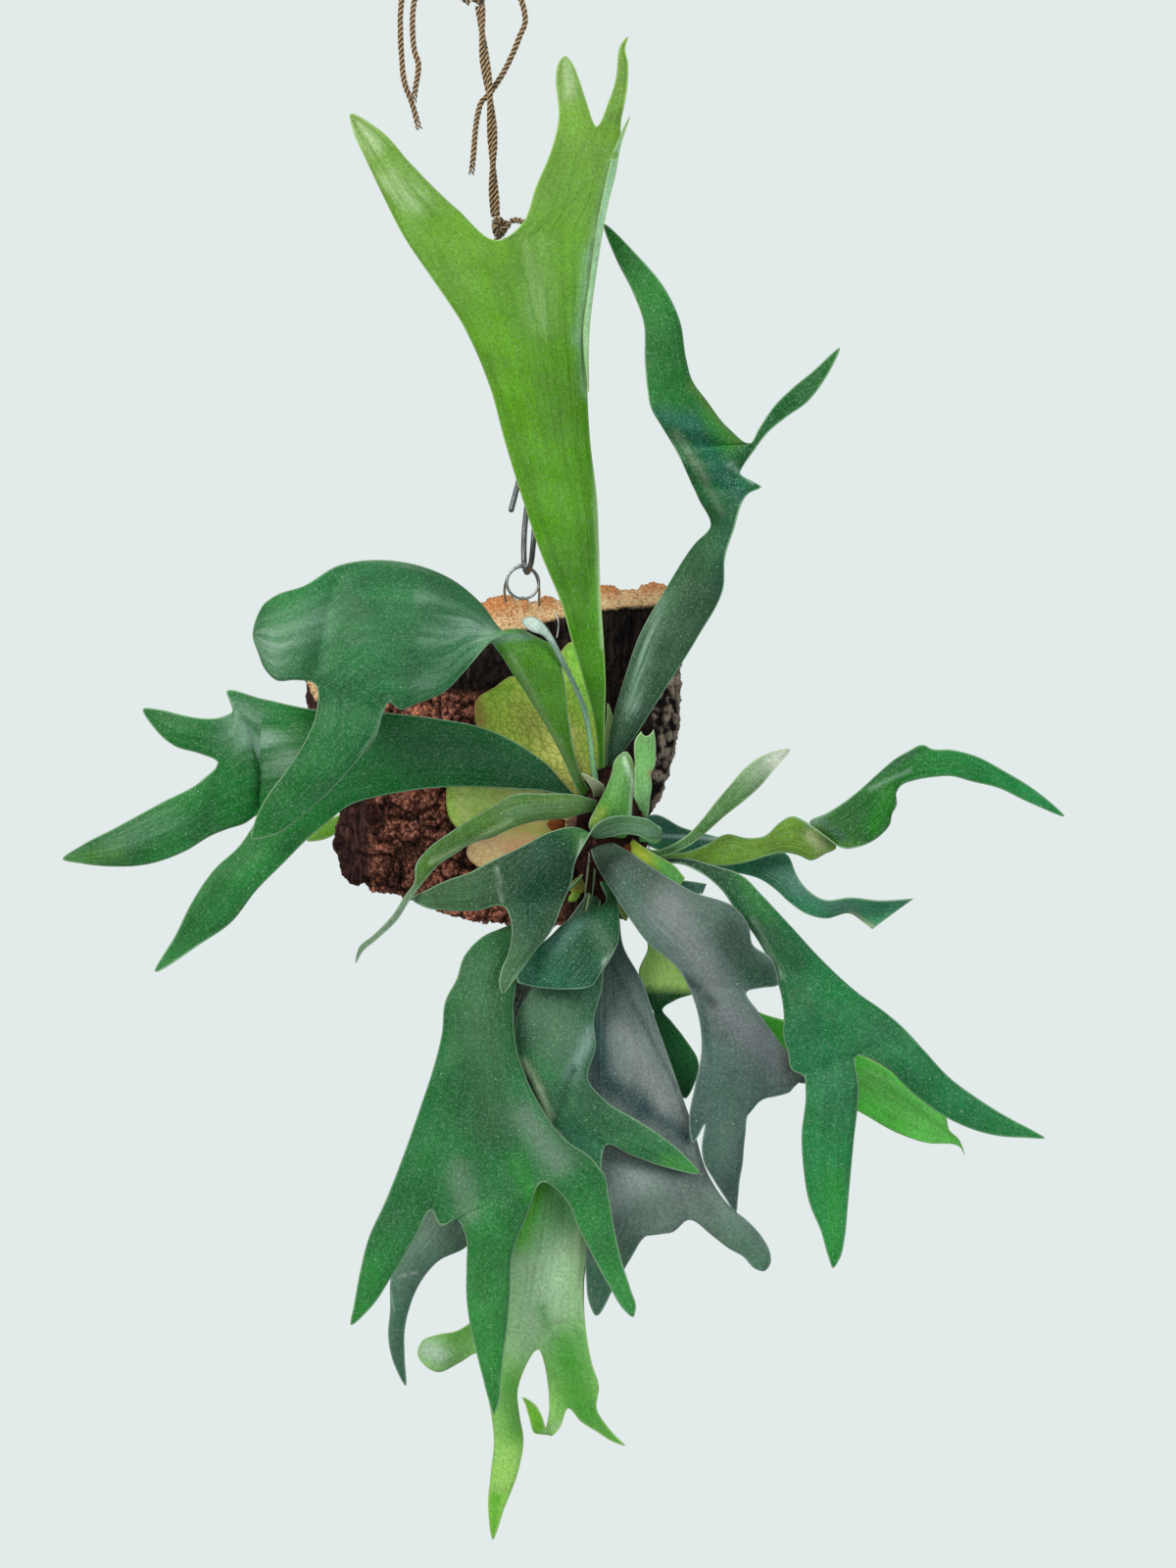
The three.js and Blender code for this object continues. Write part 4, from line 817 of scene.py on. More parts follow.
def frond_finish(name, colours, turn=(0.1, 0.45), scurf=0.29, drift=0.06, grey="#7fa38c", ribs=0.04,
                 rib_colour="#7fb08c", rim="#94b894", dark=0.7):
    """A living fern blade: satin green under a grey bloom and white star-shaped hairs, palest beneath.

    The hairs are a quarter of a millimetre across and half a millimetre apart, drawn about twice as coarse
    so that they show. Veins run along the blade, and a fine pale line follows its margin. The four colours
    are those of its base, middle and tip, and of its underside.
    """
    base, middle, tip, under = colours
    material, add = new_material(name)
    spot = add("TexCoord").outputs["Object"]
    marks = add("UVMap", uv_map="pattern")
    margin, grown, side, bloom, shade = (
        add("Attribute", attribute_name=key).outputs["Fac"]
        for key in ("margin", "grown", "under", "bloom", "shade"))

    early = add("MapRange", {"Value": grown, "From Min": turn[0], "From Max": turn[1]})
    late = add("MapRange", {"Value": grown, "From Min": 0.62, "From Max": 0.98})
    young = add("MixRGB", {"Fac": early, "Color1": base, "Color2": middle})
    top = add("MixRGB", {"Fac": late, "Color1": young, "Color2": tip})
    ground = add("MixRGB", {"Fac": side, "Color1": top, "Color2": under})

    # Broad patches of growth, 30 mm across, and streaks that follow the veins
    patches = add("TexNoise", {"Vector": spot, "Scale": 1 / (30 * MM), "Detail": 3.0})
    stretched = add("Mapping", {"Vector": marks, "Scale": (11, 0.02, 1)})
    streaks = add("TexNoise", {"Vector": stretched, "Scale": 1.0, "Detail": 4.0})
    both = add("MixRGB", {"Fac": 0.3, "Color1": patches, "Color2": streaks})
    depth = add("MapRange", {"Value": both, "From Min": 0.38, "From Max": 0.62, "To Min": dark,
                             "To Max": 1.15})
    shaded = add("MixRGB", {"Fac": 1.0, "Color1": ground, "Color2": depth}, blend_type="MULTIPLY")

    # The stain attribute holds real stains, and also painted shade, shadows, sheen and highlights
    stain = add("Attribute", attribute_name="stain")
    with_stains_and_painted_light = add("MixRGB", {"Fac": stain.outputs["Alpha"], "Color1": shaded,
                             "Color2": stain.outputs["Color"]})

    # Veins waver as they run, and stand a little above the blade
    lanes = add("Mapping", {"Vector": marks, "Scale": (14, 0.03, 1)})
    wander = add("TexNoise", {"Vector": lanes, "Scale": 0.7, "Detail": 2.0})
    shift = add("VectorMath", {0: wander.outputs["Color"], 1: (1.8, 0, 0)}, operation="MULTIPLY")
    bent = add("VectorMath", {0: lanes, 1: shift}, operation="ADD")
    lane = add("SeparateXYZ", {"Vector": bent})
    wave = add("Math", {0: lane.outputs["X"], 1: 0.5}, operation="PINGPONG")
    rib = add("MapRange", {"Value": wave, "From Max": 0.2, "To Min": 1.0, "To Max": 0.0})
    rib_part = add("Math", {0: rib, 1: ribs}, operation="MULTIPLY")
    ribbed = add("MixRGB", {"Fac": rib_part, "Color1": with_stains_and_painted_light, "Color2": rib_colour})

    # Grey bloom lies in drifts, and the bloom strokes lay more of it along the veins, partly as a painted
    # sheen
    drifts = add("TexNoise", {"Vector": spot, "Scale": 1 / (16 * MM), "Detail": 6.0, "Roughness": 0.65})
    lying = add("MapRange", {"Value": drifts, "From Min": 0.4, "From Max": 0.75, "To Max": drift})
    brushed = add("MapRange", {"Value": streaks, "From Min": 0.34, "From Max": 0.66, "To Min": 0.15,
                               "To Max": 1.7})
    stroke_bloom_and_sheen = add("Math", {0: bloom, 1: brushed}, operation="MULTIPLY")
    grey_part = add("Math", {0: lying, 1: stroke_bloom_and_sheen}, operation="ADD", use_clamp=True)
    bloomed = add("MixRGB", {"Fac": grey_part, "Color1": ribbed, "Color2": grey})

    # White star hairs, and the grain that their shadows give
    cells = add("TexVoronoi", {"Vector": spot, "Scale": 1 / (0.8 * MM)})
    dots = add("MapRange", {"Value": cells.outputs["Distance"], "From Min": 0.25, "From Max": 0.55,
                            "To Min": 1.0, "To Max": 0.0})
    chosen = add("SeparateColor", {"Color": cells.outputs["Color"]})
    present = add("MapRange", {"Value": chosen.outputs["Red"], "From Min": 0.1, "From Max": 1.0,
                               "To Max": scurf})
    hairs = add("Math", {0: dots, 1: present}, operation="MULTIPLY")
    fleck = add("MapRange", {"Value": chosen.outputs["Green"], "From Min": 0.99, "From Max": 0.995,
                             "To Max": 0.7})
    flecks = add("Math", {0: dots, 1: fleck}, operation="MULTIPLY")
    white = add("Math", {0: hairs, 1: flecks}, operation="MAXIMUM")
    haired = add("MixRGB", {"Fac": white, "Color1": bloomed, "Color2": "#a5c9ae"})
    fine = add("TexNoise", {"Vector": spot, "Scale": 1 / (1.3 * MM), "Detail": 4.0, "Roughness": 0.7})
    grain = add("MapRange", {"Value": fine, "From Min": 0.35, "From Max": 0.65, "To Min": 0.78,
                             "To Max": 1.2})
    # Painted shade from the shade strokes, and painted light where they are below zero
    painted_shade_factor = add("MapRange", {"Value": shade, "From Min": -1.0, "To Min": 1.55, "To Max": 0.45})
    grain_and_painted_shade = add("Math", {0: grain, 1: painted_shade_factor}, operation="MULTIPLY")
    grained = add("MixRGB", {"Fac": 1.0, "Color1": haired, "Color2": grain_and_painted_shade}, blend_type="MULTIPLY")

    edge = add("MapRange", {"Value": margin, "From Min": 0.3, "From Max": 0.8, "To Min": 0.7, "To Max": 0.0})
    colour = add("MixRGB", {"Fac": edge, "Color1": grained, "Color2": rim})

    dull = add("MapRange", {"Value": fine, "From Min": 0.3, "From Max": 0.7, "To Min": 0.42, "To Max": 0.58})
    grainy = add("Bump", {"Height": fine, "Strength": 0.3, "Distance": 0.15 * MM})
    raised = add("Bump", {"Height": rib, "Strength": 0.35, "Distance": 0.35 * MM, "Normal": grainy})
    swollen = add("Bump", {"Height": streaks, "Strength": 0.6, "Distance": 1.4 * MM, "Normal": raised})
    shader = add("BsdfPrincipled", {"Base Color": colour, "Roughness": dull, "Specular IOR Level": 0.2,
                                    "Normal": swollen})
    add("OutputMaterial", {"Surface": shader})
    return material

# Cork bark
# A slab of virgin cork bark sawn across its top, so that its tan grain shows there. Its face is weathered
# near black and split into blocks, with crumbling red-brown cork in the splits.
# The crest and half width are in steps of the drawing, and the other slab sizes, the depth of the splits
# and the sink of the face in millimetres
SLAB_THICKNESS = 24
SLAB_CREST = 530
SLAB_HALF_WIDTH = 200
SLAB_BACK_SWEEP = 24
SLAB_SETBACK = 1
SLAB_CELLS = (212, 176, 20)
PLATE_SIZE = (17 * MM, 16 * MM, 22 * MM)
PLATE_BEND = 0.7
PLATE_BEND_SIZE = 12 * MM
SPLIT_WIDTH = 0.16
SPLIT_DEPTH = 2.6
FACE_SINK = 1.1
SAW_CELLS = 1.5
BARK_SEED = 1795876929
GRAIN_SIZE = 2.8 * MM
BLOCK_SIZE = 5 * MM
RIDGE_SIZE = (2.6 * MM, 2.6 * MM, 15 * MM)
CRUMB_SIZE = 6 * MM
GRIT_SIZE = 1.5 * MM

front_top = [[322, 716], [345, 694], [395, 670], [450, 656], [500, 648], [530, 645], [555, 635], [575, 630],
             [615, 622], [665, 618], [690, 616]]
back_top = [[312, 695], [335, 672], [385, 648], [440, 632], [497, 618], [515, 612], [540, 614], [575, 611],
            [612, 603], [633, 603], [662, 600], [688, 598]]
slab_bottom = [[355, 899], [364, 904], [374, 901], [378, 907], [404, 913], [446, 929], [470, 937],
               [519, 943], [575, 945], [640, 938]]
low_left = [[346, 830], [342, 850], [340, 865], [346, 876], [348, 889], [355, 899]]
front_left = [[322, 716], [324, 745], [334, 790], *low_left]
back_left = [[312, 695], [314, 730], [328, 790], *low_left]
low_right = [[690, 745], [684, 775], [674, 808], [664, 830], [656, 870], [648, 905], [640, 938]]
front_right = [[690, 616], [691, 690], *low_right]
back_right = [[688, 598], [693, 700], *low_right]
# Crumbs of cork left standing along the sawn top: from x, to x, how high in millimetres
top_lumps = [(494, 535, 3.0), (537, 546, 2.6), (556, 571, 2.6), (611, 636, 4.2), (640, 652, 0.8),
             (656, 682, 3.6)]


def bark_face(x):
    return -SLAB_SETBACK - SLAB_BACK_SWEEP * ((x - SLAB_CREST) / SLAB_HALF_WIDTH) ** 2


def bark_back(x):
    return bark_face(x) - SLAB_THICKNESS


def outline_points(outline, shares):
    points = np.array([[x, y, 0] for x, y in outline], dtype=float)
    line = smooth_line(points, points[0], points[-1])
    reach = along_line(points)
    return line(np.interp(shares * reach[-1], reach, np.arange(len(points))))[:, :2]


def slab_outline(top, left, right, u, v):
    """Drawn places all over a face of the slab, blended between its four edges."""
    above, below = outline_points(top, u)[None], outline_points(slab_bottom, u)[None]
    near, far = outline_points(left, v)[:, None], outline_points(right, v)[:, None]
    u, v = u[None, :, None], v[:, None, None]
    corners = ((1 - u) * (1 - v) * above[:, :1] + u * (1 - v) * above[:, -1:]
               + (1 - u) * v * below[:, :1] + u * v * below[:, -1:])
    return above * (1 - v) + below * v + near * (1 - u) + far * u - corners


def slab_faces():
    """The slab's six sides as one net over a block of cells: points, quads and each point's place in it."""
    across, down, deep = SLAB_CELLS
    u, v, w = (np.linspace(0, 1, cells + 1) for cells in SLAB_CELLS)
    front_drawn = slab_outline(front_top, front_left, front_right, u, v)
    back_drawn = slab_outline(back_top, back_left, back_right, u, v)
    front = at(front_drawn[..., 0], front_drawn[..., 1], bark_face(front_drawn[..., 0]))
    back = at(back_drawn[..., 0], back_drawn[..., 1], bark_back(back_drawn[..., 0]))
    known = {}
    places = []

    def index(i, j, k):
        if (i, j, k) not in known:
            known[i, j, k] = len(places)
            places.append((i, j, k))
        return known[i, j, k]

    quads = []

    def add_quad(i, j, k, one, two, turn):
        steps = ((0, 0, 0), one, tuple(a + b for a, b in zip(one, two)), two)
        quads.append([index(i + a, j + b, k + c) for a, b, c in steps][::turn])

    to_below, to_right, to_back = (1, 0, 0), (0, 1, 0), (0, 0, 1)
    for i in range(down):
        for j in range(across):
            for k, turn in ((0, 1), (deep, -1)):
                add_quad(i, j, k, to_below, to_right, turn)
    for k in range(deep):
        for j in range(across):
            for i, turn in ((0, 1), (down, -1)):
                add_quad(i, j, k, to_right, to_back, turn)
        for i in range(down):
            for j, turn in ((0, -1), (across, 1)):
                add_quad(i, j, k, to_below, to_back, turn)
    i, j, k = np.array(places).T
    share = w[k][:, None]
    return front[i, j] * (1 - share) + back[i, j] * share, quads, u[j], v[i], w[k], front_drawn[i, j]


def grain_rise(spot, size):
    """A round crumb of cork: 1 at its crown, 0 in the crease round it."""
    return 1 - min(noise.voronoi(spot / size)[0][0] / 0.75, 1) ** 2


def cork_slab():
    """The slab with its splits, crumbs, fibres and blocks raised on it."""
    noise.seed_set(BARK_SEED)
    points, quads, u, v, w, drawn = slab_faces()
    triangles = np.array([[q[0], q[1], q[2]] for q in quads] + [[q[0], q[2], q[3]] for q in quads])
    normals, _ = point_normals(points, triangles)
    x, y = drawn.T
    sawn = (np.clip(1 - v * SLAB_CELLS[1] / SAW_CELLS, 0, 1)
            * np.clip(w * SLAB_CELLS[2] / SAW_CELLS, 0, 1))
    # Black to the right, and black below the sawn top, there partly painted shade under the fronds above;
    # bare of crumbs down the left edge; near-black blocks with painted light on their tops down the right one
    high_up = np.clip((712 - y) / 10, 0, 1) * np.clip((x - 425) / 30, 0, 1)
    black = np.maximum(np.clip((x - 545) / 45, 0, 1), high_up) * (1 - 0.85 * np.clip((w - 0.3) / 0.5, 0, 1))
    bare = np.clip((381 - x) / 9, 0, 1)
    block = np.clip((x - 655) / 14, 0, 1) * np.clip((y - 640) / 30, 0, 1)
    rise = np.zeros(len(points))
    split = np.zeros(len(points))
    for n, point in enumerate(points):
        spot = Vector(point)
        cell = Vector([point[axis] / PLATE_SIZE[axis] for axis in range(3)])
        cell += noise.noise_vector(spot / PLATE_BEND_SIZE) * PLATE_BEND
        near = noise.voronoi(cell)[0]
        plate = min((near[1] - near[0]) / SPLIT_WIDTH, 1.0)
        crumb = noise.fractal(spot / CRUMB_SIZE, 0.9, 2.1, 4)
        grit = noise.noise(spot / GRIT_SIZE)
        if sawn[n] > 0.5:
            rise[n] = 0.8 * crumb + 0.8 * grit
            continue
        ridge = noise.fractal(Vector([point[axis] / RIDGE_SIZE[axis] for axis in range(3)]), 0.8, 2.1, 3)
        # How far the four kinds of face stand out, in millimetres
        crumbly = 1.3 * grain_rise(spot, GRAIN_SIZE) + 1.3 * crumb + 0.7 * grit
        fibrous = 1.5 * ridge + 0.6 * grit
        blocky = 2.2 * grain_rise(spot, BLOCK_SIZE) + 0.9 * ridge + 1.0 * crumb + 0.7 * grit
        smooth = 1.0 * crumb + 0.9 * ridge + 0.7 * grain_rise(spot, GRAIN_SIZE)
        face = crumbly + (fibrous - crumbly) * black[n]
        face += (smooth - face) * bare[n]
        face += (blocky - face) * block[n]
        split[n] = (1 - plate) * (1 - 0.6 * black[n]) * (1 - block[n]) * (1 - 0.5 * bare[n])
        rise[n] = face - SPLIT_DEPTH * split[n] - FACE_SINK
    high = np.clip((rise + 1.6) / 3.2, 0, 1)
    top_edge = sawn * np.clip((w - 0.42) / 0.3, 0, 1)
    lump = np.zeros(len(points))
    for first, end, height in top_lumps:
        share = np.clip((x - first) / (end - first), 0, 1)
        dome = np.sqrt(np.sin(share * math.pi)) * top_edge * (0.8 + 0.25 * np.sin(x * 1.1) * np.sin(x * 0.47))
        rise += height * dome
        lump = np.maximum(lump, dome * min(height / 2.4, 1))
    places = points + normals * rise[:, None] * MM

    mesh = bpy.data.meshes.new("cork_bark")
    mesh.from_pydata(places.tolist(), [], quads)
    mesh.validate()
    mark_points(mesh, sawn=sawn, split=split, black=black, bare=bare, block=block, lump=lump, high=high)
    return mesh


def weathered_cork():
    """Weathered cork bark: dull and crumbling, red-brown to black, tan and pored where it was sawn."""
    material, add = new_material("weathered_cork")
    spot = add("TexCoord").outputs["Object"]
    sawn, split, black, bare, block, lump, high = (
        add("Attribute", attribute_name=key).outputs["Fac"]
        for key in ("sawn", "split", "black", "bare", "block", "lump", "high"))
    clumps = add("TexNoise", {"Vector": spot, "Scale": 1 / (9 * MM), "Detail": 4.0, "Roughness": 0.6})
    grit = add("TexNoise", {"Vector": spot, "Scale": 1 / (1.2 * MM), "Detail": 4.0, "Roughness": 0.6})
    # Crumbs of cork, 1.5 mm across, each of its own brown, with painted shade in the creases round them
    moved = add("MixRGB", {"Fac": 0.0012, "Color1": spot, "Color2": grit.outputs["Color"]}, blend_type="ADD")
    crumbs = add("TexVoronoi", {"Vector": moved, "Scale": 1 / (1.5 * MM)})
    chosen = add("SeparateColor", {"Color": crumbs.outputs["Color"]})
    lit = add("MapRange", {"Value": chosen.outputs["Red"], "From Min": 0.1, "From Max": 0.9})
    brown = add("MixRGB", {"Fac": lit, "Color1": "#84483f", "Color2": "#dc9078"})
    rusty = add("MapRange", {"Value": chosen.outputs["Green"], "From Min": 0.6, "From Max": 0.95})
    in_clump = add("MapRange", {"Value": clumps, "From Min": 0.4, "From Max": 0.62})
    rust_part = add("Math", {0: rusty, 1: in_clump}, operation="MULTIPLY")
    rust = add("MixRGB", {"Fac": rust_part, "Color1": brown, "Color2": "#e8946c"})
    shadow = add("MapRange", {"Value": clumps, "From Min": 0.35, "From Max": 0.6, "To Min": 0.85,
                              "To Max": 1.5})
    shaded = add("MixRGB", {"Fac": 1.0, "Color1": rust, "Color2": shadow}, blend_type="MULTIPLY")
    crease_shade = add("MapRange", {"Value": crumbs.outputs["Distance"], "From Min": 0.42, "From Max": 0.75,
                              "To Max": 0.85})
    crumbs_with_crease_shade = add("MixRGB", {"Fac": crease_shade, "Color1": shaded, "Color2": "#180a0b"})
    # Fibres stand upright in the black part and down the left edge, 2 mm apart
    upright = add("Mapping", {"Vector": spot, "Scale": (1, 1, 0.2)})
    fibres = add("TexNoise", {"Vector": upright, "Scale": 1 / (2 * MM), "Detail": 4.0, "Roughness": 0.6})
    fibre_part = add("MapRange", {"Value": fibres, "From Min": 0.42, "From Max": 0.66})
    # The charred black also stands for painted shade below the sawn top
    charred_and_shaded = add("MixRGB", {"Fac": fibre_part, "Color1": "#0f0b0c", "Color2": "#4a3b35"})
    worn = add("MixRGB", {"Fac": fibre_part, "Color1": "#35201f", "Color2": "#7b5048"})
    # Painted light: the near-black blocks turn grey on their raised tops, in patches
    raised = add("MapRange", {"Value": high, "From Min": 0.35, "From Max": 0.75})
    patchy = add("MapRange", {"Value": fibres, "From Min": 0.3, "From Max": 0.5})
    painted_light_on_tops = add("Math", {0: raised, 1: patchy}, operation="MULTIPLY")
    grey = add("MixRGB", {"Fac": painted_light_on_tops, "Color1": "#120d0c", "Color2": "#9c8a7a"})
    face = add("MixRGB", {"Fac": black, "Color1": crumbs_with_crease_shade, "Color2": charred_and_shaded})
    face = add("MixRGB", {"Fac": bare, "Color1": face, "Color2": worn})
    face = add("MixRGB", {"Fac": block, "Color1": face, "Color2": grey})
    # Painted shade: the splits and the low parts of the face are darkened to near black
    hollow_shade = add("MapRange", {"Value": high, "From Max": 0.4, "To Min": 0.6, "To Max": 0.0})
    deep = add("Math", {0: split, 1: hollow_shade}, operation="MAXIMUM")
    face = add("MixRGB", {"Fac": deep, "Color1": face, "Color2": "#120a09"})
    # Cork cells and dark pores on the sawn edge, pores 1.5 mm across
    pores = add("TexVoronoi", {"Vector": spot, "Scale": 1 / (3.2 * MM)})
    pore_part = add("MapRange", {"Value": pores.outputs["Distance"], "From Min": 0.12, "From Max": 0.36,
                                 "To Min": 0.85, "To Max": 0.0})
    tan_part = add("MapRange", {"Value": grit, "From Min": 0.35, "From Max": 0.65})
    tan = add("MixRGB", {"Fac": tan_part, "Color1": "#b87c44", "Color2": "#f4dcae"})
    pored = add("MixRGB", {"Fac": pore_part, "Color1": tan, "Color2": "#8a5a36"})
    fox = add("MixRGB", {"Fac": tan_part, "Color1": "#a5562a", "Color2": "#ea9856"})
    rusted = add("MixRGB", {"Fac": lump, "Color1": pored, "Color2": fox})
    colour = add("MixRGB", {"Fac": sawn, "Color1": face, "Color2": rusted})
    rough = add("Bump", {"Height": crumbs.outputs["Distance"], "Strength": 0.7, "Distance": 0.9 * MM},
                invert=True)
    finest = add("Bump", {"Height": grit, "Strength": 0.8, "Distance": 0.6 * MM, "Normal": rough})
    shader = add("BsdfPrincipled", {"Base Color": colour, "Roughness": 0.92, "Specular IOR Level": 0.2,
                                    "Normal": finest})
    add("OutputMaterial", {"Surface": shader})
    return material


add_piece("cork_bark", cork_slab(), weathered_cork(), ["cork_slab"])

# Crown
# The creeping stem that every frond grows from, hidden under a brown felt of papery scales and wiry roots,
# by which it holds to the bark.
CROWN_CENTRE = (622, 852, 8)
CROWN_RADII = (17 * MM, 22 * MM, 32 * MM)
ROOT_LUMP = 0.05
CROWN_RINGS = 72
CROWN_SIDES = 96
ROOT_COUNT = 420
ROOT_WIDTH = 0.45 * MM
ROOT_REACH = (3 * MM, 9 * MM)
ROOT_STEPS = 7
ROOT_SIDES = 5


def crown_sheaf():
    sheaf = Sheaf()
    points = []
    for i in range(CROWN_RINGS + 1):
        for j in range(CROWN_SIDES):
            lift, turn = math.pi * i / CROWN_RINGS, 2 * math.pi * j / CROWN_SIDES
            x, y, z = math.cos(turn) * math.sin(lift), math.cos(lift), math.sin(turn) * math.sin(lift)
            lump = 1 + ROOT_LUMP * (math.sin(7 * x + 1) * math.cos(9 * z) - math.cos(8 * y))
            lump += 0.05 * noise.fractal(Vector((x, y, z)) * 9, 0.8, 2.1, 4)
            points.append([x * CROWN_RADII[0] * lump, y * CROWN_RADII[1] * lump, z * CROWN_RADII[2] * lump])
    centre = at(*CROWN_CENTRE)
    faces = ring_faces(CROWN_RINGS + 1, CROWN_SIDES)
    sheaf.add(centre + np.array(points), faces, np.zeros((len(points), 2)))
    for root in range(ROOT_COUNT):
        out = unit(random.normal(size=3))
        lean = np.cross(out, random.normal(size=3))
        start = out * np.array(CROWN_RADII) * 0.96
        reach = random.uniform(*ROOT_REACH)
        t = np.linspace(0, 1, ROOT_STEPS)[:, None]
        bow = random.uniform(-0.5, 0.2)
        line = centre + start + (out * (0.35 * t + bow * t * t * 0.5) + lean * t * 0.6
                                 + np.array([0, 0, -0.3]) * t * t) * reach
        sheaf.tube(line, np.linspace(ROOT_WIDTH / 2, ROOT_WIDTH / 6, ROOT_STEPS), ROOT_SIDES)
    return sheaf


def root_felt():
    """Root felt and scales: dark fibrous brown, with fox-red and straw fibres."""
    material, add = new_material("root_felt")
    spot = add("TexCoord").outputs["Object"]
    clumps = add("TexNoise", {"Vector": spot, "Scale": 1 / (6 * MM), "Detail": 4.0})
    stretched = add("Mapping", {"Vector": spot, "Scale": (1, 1, 0.2)})
    fibres = add("TexNoise", {"Vector": stretched, "Scale": 1 / (0.9 * MM), "Detail": 5.0, "Roughness": 0.7})
    part = add("MapRange", {"Value": fibres, "From Min": 0.48, "From Max": 0.72})
    ground = add("MixRGB", {"Fac": clumps, "Color1": "#080506", "Color2": "#2a1612"})
    colour = add("MixRGB", {"Fac": part, "Color1": ground, "Color2": "#643a30"})
    relief = add("Bump", {"Height": fibres, "Strength": 0.9, "Distance": 0.8 * MM})
    shader = add("BsdfPrincipled", {"Base Color": colour, "Roughness": 0.95, "Specular IOR Level": 0.15,
                                    "Normal": relief})
    add("OutputMaterial", {"Surface": shader})
    return material


crown_sheaf().piece("crown_felt", root_felt(), ["crown"], "root_felt")

# Shield fronds
# The flat sterile fronds that clasp the bark round the crown: thin, yellow-green and net-veined, and one
# that has dried to papery tan.


def shield_finish(name, colours, lean=0.0, blotch="#c9cf6a", blotches=0.5, dried=0.0):
    """A thin shield frond: matt yellow-green, paler between the dark net of its veins.

    The net's meshes are 2 mm wide and twice as long, and lean outward from the crown. The three colours are
    those of its base, of its tip and of the net.
    """
    base, tip, net_colour = colours
    material, add = new_material(name)
    spot = add("TexCoord").outputs["Object"]
    margin, grown, shade = (add("Attribute", attribute_name=key).outputs["Fac"]
                            for key in ("margin", "grown", "shade"))
    ground = add("MixRGB", {"Fac": grown, "Color1": base, "Color2": tip})
    patches = add("TexNoise", {"Vector": spot, "Scale": 1 / (14 * MM), "Detail": 4.0})
    depth = add("MapRange", {"Value": patches, "From Min": 0.3, "From Max": 0.7, "To Min": 0.8,
                             "To Max": 1.15})
    shaded = add("MixRGB", {"Fac": 1.0, "Color1": ground, "Color2": depth}, blend_type="MULTIPLY")
    yellowed = add("MapRange", {"Value": patches, "From Min": 0.5, "From Max": 0.68, "To Max": blotches})
    mottled = add("MixRGB", {"Fac": yellowed, "Color1": shaded, "Color2": blotch})
    # The stain attribute holds real stains, and also painted light and shade
    stain = add("Attribute", attribute_name="stain")
    with_stains_and_painted_light = add("MixRGB", {"Fac": stain.outputs["Alpha"], "Color1": mottled,
                             "Color2": stain.outputs["Color"]})
    # The net is drawn in the plane of the bark, and its lines are bent by a slow noise
    sway = add("TexNoise", {"Vector": spot, "Scale": 1 / (7 * MM), "Detail": 3.0})
    swayed = add("VectorMath", {0: sway.outputs["Color"], 1: (3.5 * MM,) * 3}, operation="MULTIPLY")
    bent = add("VectorMath", {0: spot, 1: swayed}, operation="ADD")
    flat = add("Mapping", {"Vector": bent, "Rotation": (0, lean, 0), "Scale": (1, 1000, 2.1)},
               vector_type="TEXTURE")
    net = add("TexVoronoi", {"Vector": flat, "Scale": 1 / (2 * MM)}, feature="DISTANCE_TO_EDGE")
    line = add("MapRange", {"Value": net.outputs["Distance"], "From Min": 0.0, "From Max": 0.13,
                            "To Min": 0.62, "To Max": 0.0})
    netted = add("MixRGB", {"Fac": line, "Color1": with_stains_and_painted_light, "Color2": net_colour})
    # Painted shade from the shade strokes, and painted light where they are below zero
    painted_shade_factor = add("MapRange", {"Value": shade, "From Min": -1.0, "To Min": 1.6, "To Max": 0.4})
    colour = add("MixRGB", {"Fac": 1.0, "Color1": netted, "Color2": painted_shade_factor}, blend_type="MULTIPLY")
    brown = add("MapRange", {"Value": margin, "From Min": 0.2, "From Max": 1.2, "To Min": 0.55,
                             "To Max": dried})
    edged = add("MixRGB", {"Fac": brown, "Color1": colour, "Color2": "#a58a52"})
    raised = add("Bump", {"Height": net.outputs["Distance"], "Strength": 0.35, "Distance": 0.6 * MM})
    fine = add("TexNoise", {"Vector": spot, "Scale": 1 / (1.6 * MM), "Detail": 3.0})
    grainy = add("Bump", {"Height": fine, "Strength": 0.3, "Distance": 0.3 * MM, "Normal": raised})
    shader = add("BsdfPrincipled", {"Base Color": edged, "Roughness": 0.6, "Specular IOR Level": 0.25,
                                    "Normal": grainy})
    add("OutputMaterial", {"Surface": shader})
    return material


def shield_frond(name, colours, part, **looks):
    dried = name == "shield_dried"
    finish = shield_finish("papery_shield" if dried else "green_" + name, colours, **looks)
    blade_piece(name, part, finish, wave=0.4 * MM, thin=0.7)


